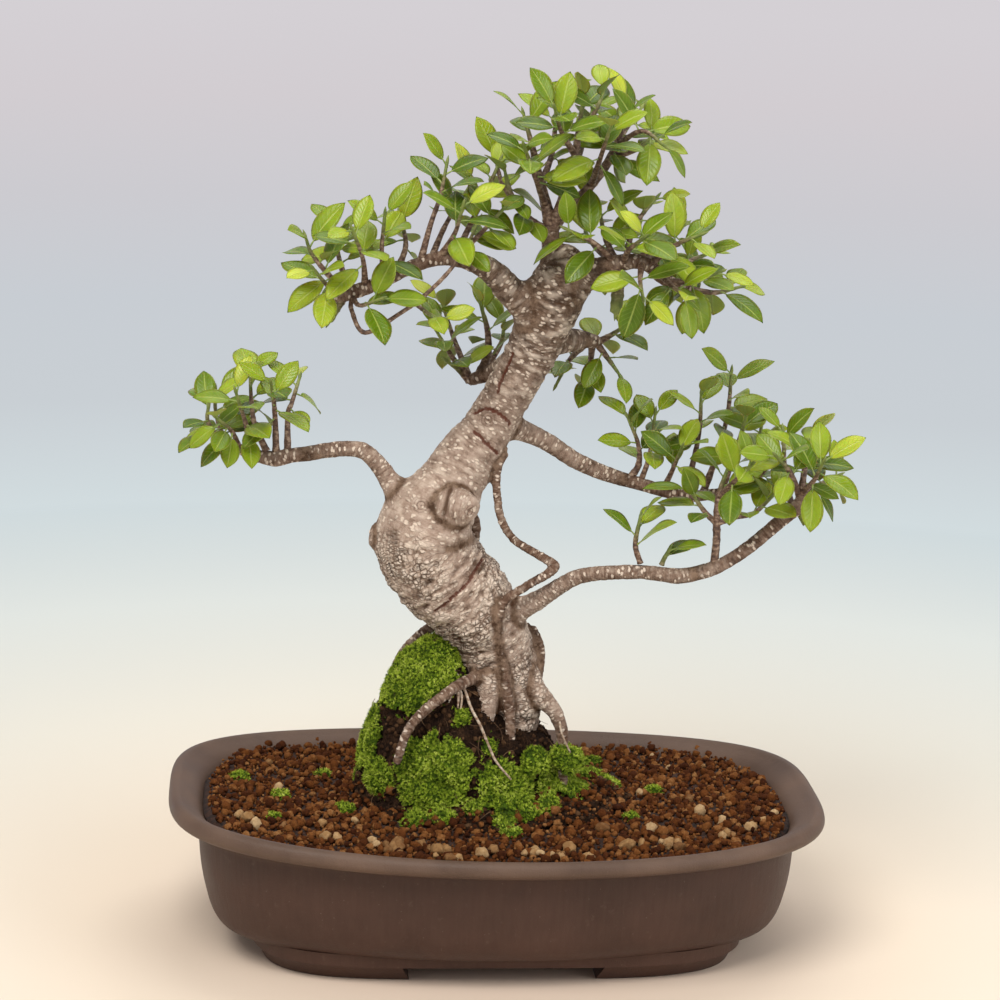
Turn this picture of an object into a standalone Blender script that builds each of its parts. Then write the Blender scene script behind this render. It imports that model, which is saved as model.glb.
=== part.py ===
"""A ficus bonsai in its oval stoneware pot, modelled in Blender.

X runs along the pot, Y across it with the front towards -Y, and Z is up.
The origin is on the surface that the pot stands on, below the middle of the
space that tree and pot take up together. Routes of wood are written in
millimetres as (x, y, z, radius), measured from the middle of the pot.
"""

import math
import random

import bmesh
import bpy
import numpy as np
from mathutils import Vector, noise

MM = 0.001
GAP = 0.3  # clearance between pieces that touch, in millimetres
ORIGIN_SHIFT = -2.2  # moves the whole model along X, so that its box is centred

# Pot: half length, half depth and height of its rim, in millimetres
RIM_LENGTH = 175.0
RIM_DEPTH = 122.0
RIM_HEIGHT = 78.0
RIM_PLAN = (2.0, 3.5)  # powers of the plan: the ends are round and the long sides flattened
FOOT_PLAN = (4.0, 4.3)
END_LIFT = 5.0  # the rim rises this much towards both ends
RIM_TILT = 0.0134  # and drops this much per millimetre towards +X
WARP_START = 24.0  # the pot is true below this height
POT_SIDES = 40
FOOT_HEIGHT = 9.0
FLOOR_UNDERSIDE = 14.5
FLOOR_TOP = 21.0
DRAIN_HOLE_X = 70.0
DRAIN_HOLE_RADIUS = 11.0

# Half length, half depth and height of the wall, from under the floor over the rim to the floor's top
WALL_PROFILE = [
    (140, 88, FLOOR_UNDERSIDE), (147, 92, 15.5), (151.5, 99.5, 21), (155, 103.5, 30),
    (158.3, 105.8, 45), (160, 107.5, 66), (162, 109, 68), (171, 118, 68.8), (RIM_LENGTH, RIM_DEPTH, 72),
    (174.2, 121.2, 76.4), (171, 118, RIM_HEIGHT), (167, 114.2, 76.6), (158.5, 106.6, 70.5),
    (147.5, 97.5, 52), (141, 93, 34), (127, 80, FLOOR_TOP),
]
FOOT_PROFILE = [
    (112, 64, 0), (126, 78, 0), (129.5, 84.5, FOOT_HEIGHT), (131.5, 87.5, FOOT_HEIGHT + 1), (132, 88.5, 17),
    (112, 64, 17),
]
# Notches in the foot: where each one starts, half its width and the direction that it runs in
FOOT_NOTCHES = [(-130, 52, "y"), (60, 52, "y"), (-170, 34, "x"), (100, 34, "x")]
NOTCH_REACH = 70.0
NOTCH_SLANT = 4.0
DRAIN_GRID_HALF = 17.0
DRAIN_GRID_BAR = 2.2
DRAIN_GRID_HEIGHT = 1.0
DRAIN_GRID_CELLS = 2

# Soil bed and the peat mound that stands in it
SOIL_LEVEL = 72.0
SOIL_SWELL = 3.5  # how much higher the bed is at the mound than at the rim
BED_HALF_LENGTH = 158.0
BED_HALF_DEPTH = 107.0
BED_SHARES = (0.0, 0.17, 0.34, 0.5, 0.67, 0.84)  # of the way from the mound to the rim, ring by ring
CRUMB_SIZE = 11.0
CRUMB_RELIEF = 1.3
MOUND_X = -2.0
MOUND_Y = 5.0
MOUND_HALF_LENGTH = 76.0
MOUND_HALF_DEPTH = 62.0
BED_BOTTOM = 22.8
BED_SIDES = 40
# Half length, half depth and height of the bed's side, a gap inside the wall of the pot
BED_PROFILE = [
    (157.5 - GAP, 105.8 - GAP, 70.2), (147 - GAP, 97 - GAP, 52.3), (140.5 - GAP, 92.4 - GAP, 34.3),
    (127.5, 80.5, BED_BOTTOM),
]
MOUND_SIDES = 40
# Rings of the mound's top, as shares of the way out from its middle
MOUND_SHARES = (1.0, 0.93, 0.86, 0.79, 0.72, 0.65, 0.56, 0.45, 0.33, 0.21, 0.1)
BALL_LEVEL = 42.0  # the root ball tapers below this height
BALL_TAPER = (0.55, 0.62)  # to these shares of its length and depth
MOUND_LEAN = 8.0  # the top of the mound stands this far towards -X
PEAT_LUMP = 13.0
PEAT_RELIEF = 2.2
HOLE_CLEARANCE = 1.5  # between a root and the peat round it
HOLE_VOXEL = 1.4
HOLE_DETAIL = 0.026  # share of the faces that the hole's shape keeps
# Rounded bumps that add up to the mound: middle in plan, half length, half depth, height, steepness
MOUND_BUMPS = [
    (MOUND_X, MOUND_Y, MOUND_HALF_LENGTH + 3, MOUND_HALF_DEPTH + 3, 14, 4.0),
    (-20, 6, 56, 46, 31, 9.0),
    (-31, 0, 40, 37, 48, 1.4),
]

# Wood
WOOD_TRIANGLES = 2050
WOOD_VOXEL = 1.15
THIN_STEM = 3.5  # radius below which the bark is smooth
FOLD_HEIGHT = 1.1
LUMP_HEIGHT = 1.0
FOLD_SPACING = 6.5  # up the stem; round it they run on for four times that
FOLD_LENGTH = 26.0
LUMP_SIZE = 17.0
BARK_SUNK = 0.8  # how far the relief lies below the round stem on average
OLD_BARK = (330.0, 180.0)  # heights at which the bark is young and at which it is oldest

# Leaves
BLADE_LENGTH = 23.5
BLADE_WIDTH = 0.56  # of its length
BLADE_THICKNESS = 1.0
BLADE_CURL = 0.16  # how much the edges rise, as a share of half the width
STALK_LENGTH = 4.0
SECTIONS = (0.27, 0.68)  # where the solid blade has its corners along its length
SUNK_ROOT = 0.6
INTERNODE = 4.8
GOLDEN_ANGLE = math.radians(137.5)
LEAF_CLEARANCE = 2.1
ROOT_CLEARANCE = 1.2
ROOM_BESIDE_LIMB = 1.5
ROOM_BESIDE_STEM = 1.0
ROOM_BESIDE_TWIG = 0.2
ALONG_SAMPLES = (0.12, 0.23, 0.34, 0.45, 0.56, 0.67, 0.78, 0.89, 1.0)
ACROSS_SAMPLES = (-1, -0.67, -0.33, 0, 0.33, 0.67, 1)
LIGHT = np.array((0.0, -0.55, 0.85))  # where the leaves turn their faces
LEAF_TRIES = 16
RISE = 0.12  # how much a leaf lifts its tip above the way its place on the twig points
SWAY = 0.6
LEANS = (30.0, 56.0)  # angle between twig and leaf for the leaf at the tip, in degrees
LEAN_STEP = 9.0  # and how much it opens from one leaf to the next
WIDEST_LEAN = 1.9
SIZES = (0.78, 1.08)
YOUNGEST_SIZE = 0.85
DROOPS = (0.1, 0.34)

TRUNK = [
    (7, 3, 104, 15), (7, 2, 126, 18), (1, 2, 146, 20.5), (-5, 1, 164, 22.5), (-15, -2, 182, 24.5),
    (-30, -4, 198, 26.5), (-42, -5, 215, 26.5), (-39, -5, 230, 25.5), (-30, -2, 244, 20),
    (-21, 2, 260, 17), (-11, 4, 273, 15), (-2, 5, 289, 14), (7, 4, 306, 14), (15, 3, 322, 15),
    (20, 0, 337, 16), (25, -2, 351, 17), (28, -3, 364, 14.5), (23, -3, 372, 10),
]
LIMBS = {
    "left knob": [(-51, -4, 215, 11.5), (-62, -5, 219, 8), (-71, -5, 221, 6)],
    "right knob": [(-29, -23, 241, 11.5), (-21, -26, 240, 10), (-18, -29, 239, 7.5)],
    "left limb": [
        (-49, -4, 237, 10.5), (-59, -4, 248, 7), (-65, -5, 257, 5.7), (-74, -5, 266, 5),
        (-84, -5, 267, 4.8), (-94, -5, 266, 4.6), (-104, -5, 264, 4.5),
    ],
    "right low limb": [
        (0, -6, 172, 9.5), (10, -11, 182, 7), (20, -15, 189, 6), (30, -19, 197, 5), (40, -21, 203, 4.6),
        (56, -25, 206, 4.3), (74, -28, 207, 4.3), (89, -32, 206, 4.7), (98, -32, 207, 4.5),
    ],
    "right upper limb": [
        (1, 10, 278, 8.5), (13, 15, 273, 6.5), (25, 18, 267, 5.7), (38, 21, 258, 5.4),
        (52, 23, 251, 5.1), (66, 25, 246, 4.4),
    ],
    "upper left limb": [
        (17, -1, 333, 12.5), (8, -5, 345, 10), (0, -6, 352, 9), (-7, -7, 360, 8),
        (-16, -9, 366, 6.8), (-25, -10, 369, 6),
    ],
    "right mid limb": [(30, -5, 352, 12.5), (39, -9, 361, 9.3), (46, -13, 365, 7.3), (50, -14, 366, 6.3)],
    "top limb": [(24, -3, 367, 10.4), (22, -3, 373, 7), (21, -3, 377, 5.8)],
    "back left limb": [(8, 13, 315, 7.4), (0, 24, 307, 6), (-7, 31, 301, 4.8)],
    "back right limb": [(21, 12, 323, 9.5), (34, 19, 322, 8), (41, 24, 322, 6.4)],
    "aerial root": [
        (0, 0, 265, 3.4), (-3, -3, 259, 2.6), (-4, -5, 250, 2.4), (-3, -7, 239, 2.3), (-1, -9, 230, 2.3),
        (5, -13, 221, 2.3), (15, -16, 215, 2.4), (23, -19, 211, 2.6), (27, -21, 208, 2.7),
        (22, -23, 204, 2.6), (15, -23, 200, 2.5), (7, -24, 195, 2.5), (1, -24, 191, 2.6),
        (-2, -23, 183, 2.5), (-3, -21, 173, 2.5), (-1, -19, 162, 2.6), (2, -18, 151, 2.8),
        (3, -18, 141, 3.1), (5, -19, 130, 3.1), (6, -21, 112, 2.7),
    ],
    "front left root": [(-3, -8, 153, 10.5), (-6, -13, 142, 7.5), (-7, -17, 130, 5.6), (-8, -20, 112, 4.6)],
    "right root": [
        (9, 1, 151, 10.5), (16, -5, 141, 8), (23, -10, 134, 6.2), (30, -13, 126, 4.8),
        (34, -15, 115, 3.6), (34, -16, 103, 3),
    ],
    "right edge root": [(17, 5, 168, 3.4), (21, 3, 162, 2.7), (23, 2, 153, 2.6), (21, 0, 137, 2.6)],
    "waist root": [(-15, 23, 226, 4.3), (-12, 22, 219, 2.8), (-13, 20, 208, 2.8), (-9, 17, 194, 3.4)],
    "left mid root": [
        (-8, -10, 146, 4), (-20, -22, 145, 3.4), (-31, -30, 140, 3), (-42, -34, 132, 2.8),
        (-50, -38, 123, 2.6), (-56, -42, 106, 2.4),
    ],
    "left arched root": [
        (-26, 14, 172, 4), (-39, 15, 163, 3), (-48, 14, 155, 2.7), (-54, 13, 146, 2.3), (-58, 11, 134, 1.9),
    ],
}

# Each spray starts at the cut end of its limb. The last number of a twig is how many leaves it bears.
SPRAYS = {
    "spray_left": (
        [(-104, -5, 264, 4.5), (-113, -5, 263, 4.5), (-120, -4, 261, 5), (-129, -3, 262, 3.7),
         (-137, -3, 265, 3.1), (-146, -1, 269, 2.6), (-153, 0, 274, 2.1)],
        [
            ([(-153, 0, 274, 1.6), (-156, 1, 281, 1.1), (-155, 0, 290, 0.8)], 7),
            ([(-143, -1, 267, 1.6), (-149, 11, 273, 1.2), (-152, 17, 283, 1.0), (-152, 19, 292, 0.8)], 6),
            ([(-134, -3, 264, 1.8), (-135, -9, 277, 1.3), (-141, -16, 298, 0.8)], 6),
            ([(-125, -4, 265, 2.0), (-131, -1, 278, 1.4), (-133, 3, 289, 1.1), (-134, 7, 306, 0.8)], 6),
            ([(-120, -4, 265, 2.0), (-121, -10, 288, 1.3), (-123, -22, 304, 0.8)], 6),
            ([(-114, -4, 265, 2.0), (-114, 0, 284, 1.4), (-112, 1, 290, 1.2), (-108, 13, 301, 0.8)], 5),
            ([(-139, -1, 266, 1.6), (-143, -18, 278, 1.1), (-151, -27, 287, 0.8)], 5),
        ],
    ),
    "spray_upper_left": (
        [(-25, -10, 369, 6), (-37, -11, 369, 4.3), (-50, -12, 365, 4), (-62, -13, 359, 4),
         (-75, -13, 353, 4.2), (-85, -13, 350, 4.7), (-92, -12, 348, 3.8), (-95, -12, 346, 3)],
        [
            ([(-85, -13, 350, 2.4), (-90, -13, 342, 2.2), (-93, -12, 336, 1.9)], 0),
            ([(-82, -15, 348, 1.4), (-82, -17, 342, 1.2), (-75, -20, 331, 1.2), (-57, -23, 342, 1.1),
              (-45, -22, 351, 1.1), (-33, -21, 363, 1.0), (-24, -20, 376, 0.9), (-18, -19, 389, 0.8)], 4),
            ([(-85, -13, 350, 2.0), (-96, -14, 362, 1.4), (-103, -15, 371, 1.0), (-106, -16, 379, 0.8)], 6),
            ([(-83, -13, 352, 2.0), (-88, -1, 365, 1.3), (-91, 6, 382, 0.8)], 6),
            ([(-75, -13, 353, 2.0), (-77, -24, 370, 1.2), (-83, -35, 386, 0.8)], 6),
            ([(-65, -13, 357, 2.0), (-67, -16, 373, 1.2), (-66, -21, 392, 0.8)], 6),
            ([(-89, -13, 349, 2.0), (-96, -24, 357, 1.1), (-102, -31, 365, 0.8)], 6),
            ([(-60, -13, 360, 2.0), (-54, -1, 374, 1.3), (-57, 11, 388, 0.8)], 5),
            ([(-47, -12, 366, 2.0), (-42, -11, 386, 1.4), (-37, -9, 401, 1.1), (-34, -7, 417, 0.8)], 6),
            ([(-37, -11, 369, 2.0), (-30, -24, 384, 1.2), (-27, -34, 399, 0.8)], 5),
            ([(-29, -11, 369, 2.0), (-21, -2, 385, 1.5), (-13, 1, 401, 1.2), (-6, 2, 418, 0.8)], 6),
            ([(-29, -11, 369, 2.0), (-17, -21, 383, 1.2), (-5, -28, 398, 0.8)], 5),
            ([(-42, -12, 367, 2.0), (-33, 7, 384, 1.3), (-20, 16, 404, 0.8)], 5),
            ([(-82, -14, 349, 1.6), (-78, -26, 346, 1.1), (-68, -36, 351, 0.8)], 4),
            ([(-50, -23, 347, 1.1), (-44, -26, 343, 1.0), (-37, -31, 339, 0.8)], 3),
        ],
    ),
    "spray_back_left": (
        [(-7, 31, 301, 4.8), (-12, 34, 299, 4.3), (-17, 38, 296, 3.3)],
        [
            ([(-12, 34, 299, 2.8), (-7, 39, 310, 2.1), (-7, 42, 323, 1.6), (-11, 43, 337, 0.8)], 5),
            ([(-15, 36, 297, 2.1), (-25, 36, 308, 1.4), (-35, 31, 324, 0.8)], 6),
            ([(-17, 38, 296, 1.6), (-23, 34, 303, 1.2), (-29, 31, 308, 1.0)], 0),
            ([(-11, 35, 299, 2.1), (1, 52, 314, 1.4), (3, 56, 324, 0.8)], 5),
            ([(-16, 37, 297, 2.1), (-24, 52, 316, 1.3), (-31, 59, 336, 0.8)], 6),
        ],
    ),
    "spray_back_right": (
        [(41, 24, 322, 6.4), (47, 26, 321, 4.8), (52, 29, 320, 3.3)],
        [
            ([(52, 29, 320, 2.1), (59, 29, 324, 1.4), (67, 28, 330, 0.8)], 5),
            ([(50, 28, 320, 2.1), (57, 29, 311, 1.4), (63, 25, 303, 0.8)], 5),
            ([(48, 26, 320, 2.1), (49, 40, 305, 1.4), (49, 46, 289, 0.8)], 5),
            ([(45, 25, 320, 2.1), (38, 45, 307, 1.3), (32, 50, 293, 0.8)], 5),
        ],
    ),
    "spray_apex": (
        [(21, -3, 377, 5.8), (21, -3, 382, 5.4), (21, -3, 387, 5.2)],
        [
            ([(20, -3, 382, 3.2), (11, -5, 388, 2.1), (4, -6, 395, 2.0), (-1, -8, 403, 1.6),
              (-4, -9, 414, 0.8)], 7),
            ([(21, -3, 384, 3.7), (19, -2, 394, 3.2), (15, 1, 409, 2.4), (11, 2, 425, 1.7),
              (6, 3, 442, 0.8)], 7),
            ([(21, -3, 383, 3.7), (26, -6, 397, 3.0), (29, -8, 410, 2.4), (32, -11, 424, 2.0),
              (33, -11, 434, 1.6), (35, -11, 452, 0.8)], 7),
            ([(21, -3, 383, 3.7), (27, -1, 391, 3.2), (35, -1, 399, 3.0), (42, 0, 407, 2.4),
              (50, 1, 418, 2.2), (55, 1, 429, 1.7), (59, 1, 448, 0.8)], 7),
            ([(52, 1, 421, 1.7), (64, -4, 426, 1.3), (72, -6, 433, 0.8)], 7),
            ([(16, 1, 407, 2.0), (23, 18, 423, 1.4), (25, 26, 447, 0.8)], 7),
            ([(32, -11, 423, 2.0), (23, -26, 436, 1.2), (18, -38, 449, 0.8)], 6),
            ([(42, 0, 407, 2.0), (43, -24, 422, 1.3), (46, -42, 441, 0.8)], 7),
            ([(49, 1, 417, 2.0), (58, 19, 429, 1.4), (70, 30, 444, 0.8)], 7),
            ([(18, -2, 396, 2.0), (10, -23, 414, 1.3), (3, -38, 430, 0.8)], 7),
            ([(55, 1, 428, 1.6), (65, -19, 437, 1.1), (75, -32, 431, 0.8)], 6),
            ([(34, -11, 434, 1.6), (41, -18, 447, 1.1), (45, -16, 457, 0.8)], 6),
            ([(30, -9, 411, 2.0), (38, 19, 423, 1.4), (45, 36, 442, 0.8)], 7),
            ([(3, -6, 396, 1.7), (-4, 14, 407, 1.2), (-7, 25, 421, 0.8)], 6),
        ],
    ),
    "spray_right_mid": (
        [(50, -14, 366, 6.3), (57, -17, 369, 5.2), (64, -19, 370, 4.6), (71, -20, 368, 4.1),
         (79, -21, 361, 3.6), (93, -20, 356, 2.6)],
        [
            ([(54, -17, 366, 3.6), (55, -21, 355, 3.4), (54, -23, 344, 3.1)], 0),
            ([(55, -16, 368, 2.0), (41, -23, 380, 1.3), (27, -28, 387, 0.8)], 5),
            ([(55, -16, 368, 2.0), (49, -8, 381, 1.4), (46, -2, 396, 0.8)], 5),
            ([(59, -17, 369, 2.0), (62, -13, 383, 1.4), (67, -10, 392, 1.2), (75, -6, 401, 0.8)], 6),
            ([(64, -19, 370, 2.0), (79, -3, 378, 1.4), (93, 8, 386, 0.8)], 6),
            ([(71, -20, 368, 2.0), (82, -27, 379, 1.3), (95, -34, 386, 0.8)], 6),
            ([(78, -21, 362, 2.0), (93, -10, 369, 1.4), (105, -5, 373, 0.8)], 6),
            ([(81, -21, 360, 2.0), (94, -26, 361, 1.2), (106, -28, 366, 0.8)], 6),
            ([(93, -20, 356, 1.6), (107, -17, 354, 1.2), (119, -17, 357, 0.8)], 7),
            ([(67, -21, 369, 2.0), (64, -40, 363, 1.2), (64, -54, 356, 0.8)], 5),
            ([(75, -21, 365, 2.0), (81, -41, 360, 1.2), (88, -54, 356, 0.8)], 5),
            ([(58, -18, 369, 2.0), (58, -37, 378, 1.3), (64, -54, 387, 0.8)], 6),
            ([(67, -19, 370, 2.0), (76, 8, 369, 1.3), (87, 27, 365, 0.8)], 6),
            ([(55, -15, 368, 2.0), (47, 8, 372, 1.3), (43, 27, 378, 0.8)], 6),
        ],
    ),
    "spray_right_upper": (
        [(66, 25, 246, 4.4), (79, 22, 243, 4), (92, 18, 240, 3.8), (104, 15, 239, 3.5),
         (117, 12, 241, 3.2), (127, 9, 242, 2.7)],
        [
            ([(70, 24, 246, 2.1), (75, 24, 254, 1.7), (74, 22, 266, 1.2), (68, 20, 280, 0.8)], 6),
            ([(76, 23, 244, 1.7), (80, 19, 260, 1.2), (82, 17, 283, 0.8)], 5),
            ([(88, 20, 241, 1.8), (91, 8, 254, 1.3), (94, -4, 269, 0.8)], 5),
            ([(100, 17, 240, 2.1), (105, 19, 263, 1.4), (107, 21, 277, 1.2), (107, 21, 293, 0.8)], 6),
            ([(109, 15, 240, 2.1), (118, 24, 262, 1.4), (123, 28, 283, 1.2), (124, 28, 304, 0.8)], 7),
            ([(118, 12, 241, 2.1), (124, 6, 264, 1.4), (128, -1, 285, 0.8)], 6),
            ([(127, 9, 242, 2.1), (136, 14, 259, 1.4), (140, 17, 279, 0.8)], 7),
            ([(126, 10, 242, 1.6), (136, 1, 252, 1.3), (144, -8, 266, 0.8)], 5),
        ],
    ),
    "spray_right_low": (
        [(98, -32, 207, 4.5), (109, -34, 211, 4.5), (119, -36, 217, 4), (129, -37, 225, 4),
         (139, -37, 234, 4), (148, -37, 242, 4.3), (154, -37, 247, 4.8), (153, -37, 254, 3.2)],
        [
            ([(109, -34, 212, 2.2), (110, -33, 226, 2.0), (110, -31, 236, 2.0), (111, -29, 249, 1.6),
              (115, -28, 263, 0.8)], 5),
            ([(110, -31, 234, 1.6), (103, -29, 241, 1.3), (96, -26, 251, 0.8)], 4),
            ([(110, -31, 234, 1.6), (119, -33, 238, 1.4), (129, -35, 241, 1.2), (139, -38, 252, 0.8)], 5),
            ([(153, -37, 253, 2.0), (155, -33, 265, 1.4), (159, -29, 281, 0.8)], 7),
            ([(152, -37, 251, 2.0), (144, -50, 266, 1.3), (135, -59, 276, 0.8)], 6),
            ([(154, -37, 250, 2.0), (164, -29, 255, 1.4), (174, -25, 259, 0.8)], 5),
            ([(153, -37, 252, 2.0), (156, -55, 263, 1.2), (158, -67, 275, 0.8)], 5),
            ([(111, -29, 248, 1.6), (117, -46, 261, 1.2), (123, -56, 271, 0.8)], 5),
            ([(149, -37, 243, 2.0), (148, -18, 255, 1.4), (147, -8, 279, 0.8)], 6),
        ],
    ),
}
# Pruning keeps each spray inside a pad: from and to along X, and from and to in height
PADS = {
    "spray_left": (-172, -94, 256, 318),
    "spray_upper_left": (-120, 12, 329, 436),
    "spray_back_left": (-49, 12, 296, 352),
    "spray_back_right": (22, 76, 284, 342),
    "spray_apex": (-22, 92, 378, 471),
    "spray_right_mid": (0, 135, 330, 408),
    "spray_right_upper": (45, 152, 222, 326),
    "spray_right_low": (60, 182, 222, 304),
    "shoot_right_low": (50, 90, 208, 252),
    "sprout_right_low": (70, 106, 208, 232),
}
# Young shoots that stand directly on the bark of the low right limb
SHOOTS = {
    "shoot_right_low": ([(71, -28, 211.8, 1.6), (68, -28, 222, 1.4), (70, -28, 236, 0.9)], 4),
    "sprout_right_low": ([(82, -30, 211.7, 1.4), (83, -31, 215, 1.2), (85, -33, 220, 0.9)], 2),
}
CUSHION_EDGE = 0.9  # height of a cushion at its edge
CUSHION_LUMP = 7.0
ROOM_OVER_SOIL = 1.6
ROOM_ROUND_WOOD = 2.0
# Moss cushions: middle in plan, reach and thickness
CUSHIONS = {
    "moss_upper": ((-46, -9), 24, 5.0),
    "moss_left": ((-68, 4), 18, 3.5),
    "moss_front_left": ((-36, -35), 20, 4.5),
    "moss_front": ((3, -35), 16, 5.0),
    "moss_right": ((30, -14), 16, 4.5),
    "moss_back": ((-14, 46), 26, 4.0),
}


def clear_scene():
    for item in list(bpy.data.objects):
        bpy.data.objects.remove(item, do_unlink=True)


def make_material(name, colour, roughness, metallic=0.0):
    material = bpy.data.materials.new(name)
    material.use_nodes = True
    shader = material.node_tree.nodes["Principled BSDF"]
    shader.inputs["Base Color"].default_value = (*colour, 1.0)
    shader.inputs["Roughness"].default_value = roughness
    shader.inputs["Metallic"].default_value = metallic
    return material


def add_object(name, points, faces, material=None):
    """A mesh object from points in millimetres."""
    mesh = bpy.data.meshes.new(name)
    mesh.from_pydata([tuple(np.asarray(p) * MM) for p in points], [], faces)
    shaped = bmesh.new()
    shaped.from_mesh(mesh)
    bmesh.ops.recalc_face_normals(shaped, faces=shaped.faces)
    shaped.to_mesh(mesh)
    shaped.free()
    item = bpy.data.objects.new(name, mesh)
    bpy.context.scene.collection.objects.link(item)
    if material:
        mesh.materials.append(material)
    return item


def bake_modifiers(item):
    """Replaces the object's mesh by what its modifiers make of it."""
    graph = bpy.context.evaluated_depsgraph_get()
    baked = bpy.data.meshes.new_from_object(item.evaluated_get(graph))
    item.modifiers.clear()
    item.data = baked


def combine(item, operation, others, solver="EXACT"):
    """One Boolean of the object with all the others, which are then removed."""
    group = bpy.data.collections.new("operands")
    bpy.context.scene.collection.children.link(group)
    for other in others:
        bpy.context.scene.collection.objects.unlink(other)
        group.objects.link(other)
    boolean = item.modifiers.new("combine", "BOOLEAN")
    boolean.operation = operation
    boolean.operand_type = "COLLECTION"
    boolean.collection = group
    boolean.solver = solver
    bake_modifiers(item)
    for other in others:
        bpy.data.objects.remove(other, do_unlink=True)
    bpy.data.collections.remove(group)
    return item


# Pot


def outline(half_length, half_depth, sides=POT_SIDES, plan=RIM_PLAN):
    """The pot's plan, a rounded oblong."""
    ends, flanks = plan
    points = []
    for step in range(sides):
        angle = 2 * math.pi * step / sides
        along, across = abs(math.cos(angle)), abs(math.sin(angle))
        reach = 1.0
        for _ in range(30):
            value = (reach * along) ** ends + (reach * across) ** flanks - 1
            slope = ends * (reach * along) ** ends + flanks * (reach * across) ** flanks
            reach -= value * reach / slope
        points.append((half_length * reach * math.cos(angle), half_depth * reach * math.sin(angle)))
    return points


def fired(x, y, z):
    """Where firing left a point: the rim rises at both ends and leans a little to one side."""
    warp = END_LIFT * (x / RIM_LENGTH) ** 2 - RIM_TILT * x
    return x, y, z + warp * max(0.0, (z - WARP_START) / (RIM_HEIGHT - WARP_START))


def loft(name, rings, material=None, closed_loop=False, triangles=False):
    """Skins rings of equal point count. The first and last ring are capped unless they join up."""
    sides = len(rings[0])
    points = [point for ring in rings for point in ring]
    faces = []
    bands = len(rings) if closed_loop else len(rings) - 1
    for band in range(bands):
        low, high = band * sides, (band + 1) % len(rings) * sides
        for step in range(sides):
            after = (step + 1) % sides
            if triangles:
                faces += [(low + step, low + after, high + after), (low + step, high + after, high + step)]
            else:
                faces.append((low + step, low + after, high + after, high + step))
    if not closed_loop:
        faces.append(tuple(reversed(range(sides))))
        faces.append(tuple(range(bands * sides, (bands + 1) * sides)))
    return add_object(name, points, faces, material)


def pot_ring(half_length, half_depth, z, plan=RIM_PLAN):
    return [fired(x, y, z) for x, y in outline(half_length, half_depth, POT_SIDES, plan)]


def drain_hole(x):
    ring = [(math.cos(math.pi * k / 8) * DRAIN_HOLE_RADIUS, math.sin(math.pi * k / 8) * DRAIN_HOLE_RADIUS)
            for k in range(16)]
    levels = (FLOOR_UNDERSIDE - 8, FLOOR_TOP + 8)
    return loft("drain_hole", [[(x + a, b, z) for a, b in ring] for z in levels])


def foot_notch(middle, half_width, direction):
    """A wedge that opens the foot ring on one side, with slanted ends."""
    corners = []
    for z, half in ((-2.0, half_width - NOTCH_SLANT), (FOOT_HEIGHT, half_width + NOTCH_SLANT * 0.2)):
        for along, out in ((-half, 0), (half, 0), (half, NOTCH_REACH), (-half, NOTCH_REACH)):
            if direction == "y":
                corners.append((along, middle + out, z))
            else:
                corners.append((middle + out, along, z))
    faces = [(0, 1, 2, 3), (4, 5, 6, 7), (0, 1, 5, 4), (1, 2, 6, 5), (2, 3, 7, 6), (3, 0, 4, 7)]
    return add_object("foot_notch", corners, faces)


def make_pot(material):
    pot = loft("pot", [pot_ring(*level) for level in WALL_PROFILE], material)
    feet = loft("feet", [pot_ring(*level, FOOT_PLAN) for level in FOOT_PROFILE], closed_loop=True)
    combine(feet, "DIFFERENCE", [foot_notch(*notch) for notch in FOOT_NOTCHES])
    combine(pot, "UNION", [feet])
    combine(pot, "DIFFERENCE", [drain_hole(-DRAIN_HOLE_X), drain_hole(DRAIN_HOLE_X)])
    pot.data.shade_smooth()
    pot.data.set_sharp_from_angle(angle=math.radians(35))
    return pot


def make_drain_mesh(name, x, material):
    """The plastic grid that keeps the soil out of a drain hole."""
    half = DRAIN_GRID_HALF
    pitch = (2 * half - DRAIN_GRID_BAR) / DRAIN_GRID_CELLS
    size = pitch - DRAIN_GRID_BAR
    bottom = FLOOR_TOP + GAP
    plate = loft(name, [[(x + a * half, b * half, z) for a, b in ((-1, -1), (1, -1), (1, 1), (-1, 1))]
                        for z in (bottom, bottom + DRAIN_GRID_HEIGHT)], material)
    holes = []
    for column in range(DRAIN_GRID_CELLS):
        for row in range(DRAIN_GRID_CELLS):
            left = x - half + DRAIN_GRID_BAR + column * pitch
            front = -half + DRAIN_GRID_BAR + row * pitch
            right, back = left + size, front + size
            square = ((left, front), (right, front), (right, back), (left, back))
            levels = (bottom - 1, bottom + DRAIN_GRID_HEIGHT + 1)
            holes.append(loft("grid_hole", [[(a, b, z) for a, b in square] for z in levels]))
    return combine(plate, "DIFFERENCE", holes)


# Soil and mound


def crumbs(x, y, size, height):
    """Relief of packed granules: high in the middle of each cell, low between them."""
    distances = noise.voronoi(Vector((x / size, y / size, 0.37)), distance_metric="DISTANCE")[0]
    return height * (1.0 - 1.6 * distances[0])


def soil_height(x, y):
    """The bed is highest at the mound and settles towards the rim."""
    outward = math.hypot(x / BED_HALF_LENGTH, y / BED_HALF_DEPTH)
    return SOIL_LEVEL + SOIL_SWELL * max(0.0, 1 - outward) + crumbs(x, y, CRUMB_SIZE, CRUMB_RELIEF)


def mound_edge(scale, sides):
    """Plan of the mound and of the hole it fills, with an uneven edge."""
    points = []
    for step in range(sides):
        angle = 2 * math.pi * step / sides
        wave = 1 + 0.03 * math.sin(3 * angle + 1.0) + 0.02 * math.sin(7 * angle)
        points.append((
            MOUND_X + (MOUND_HALF_LENGTH * wave + scale) * math.cos(angle),
            MOUND_Y + (MOUND_HALF_DEPTH * wave + scale) * math.sin(angle),
        ))
    return points


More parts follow.
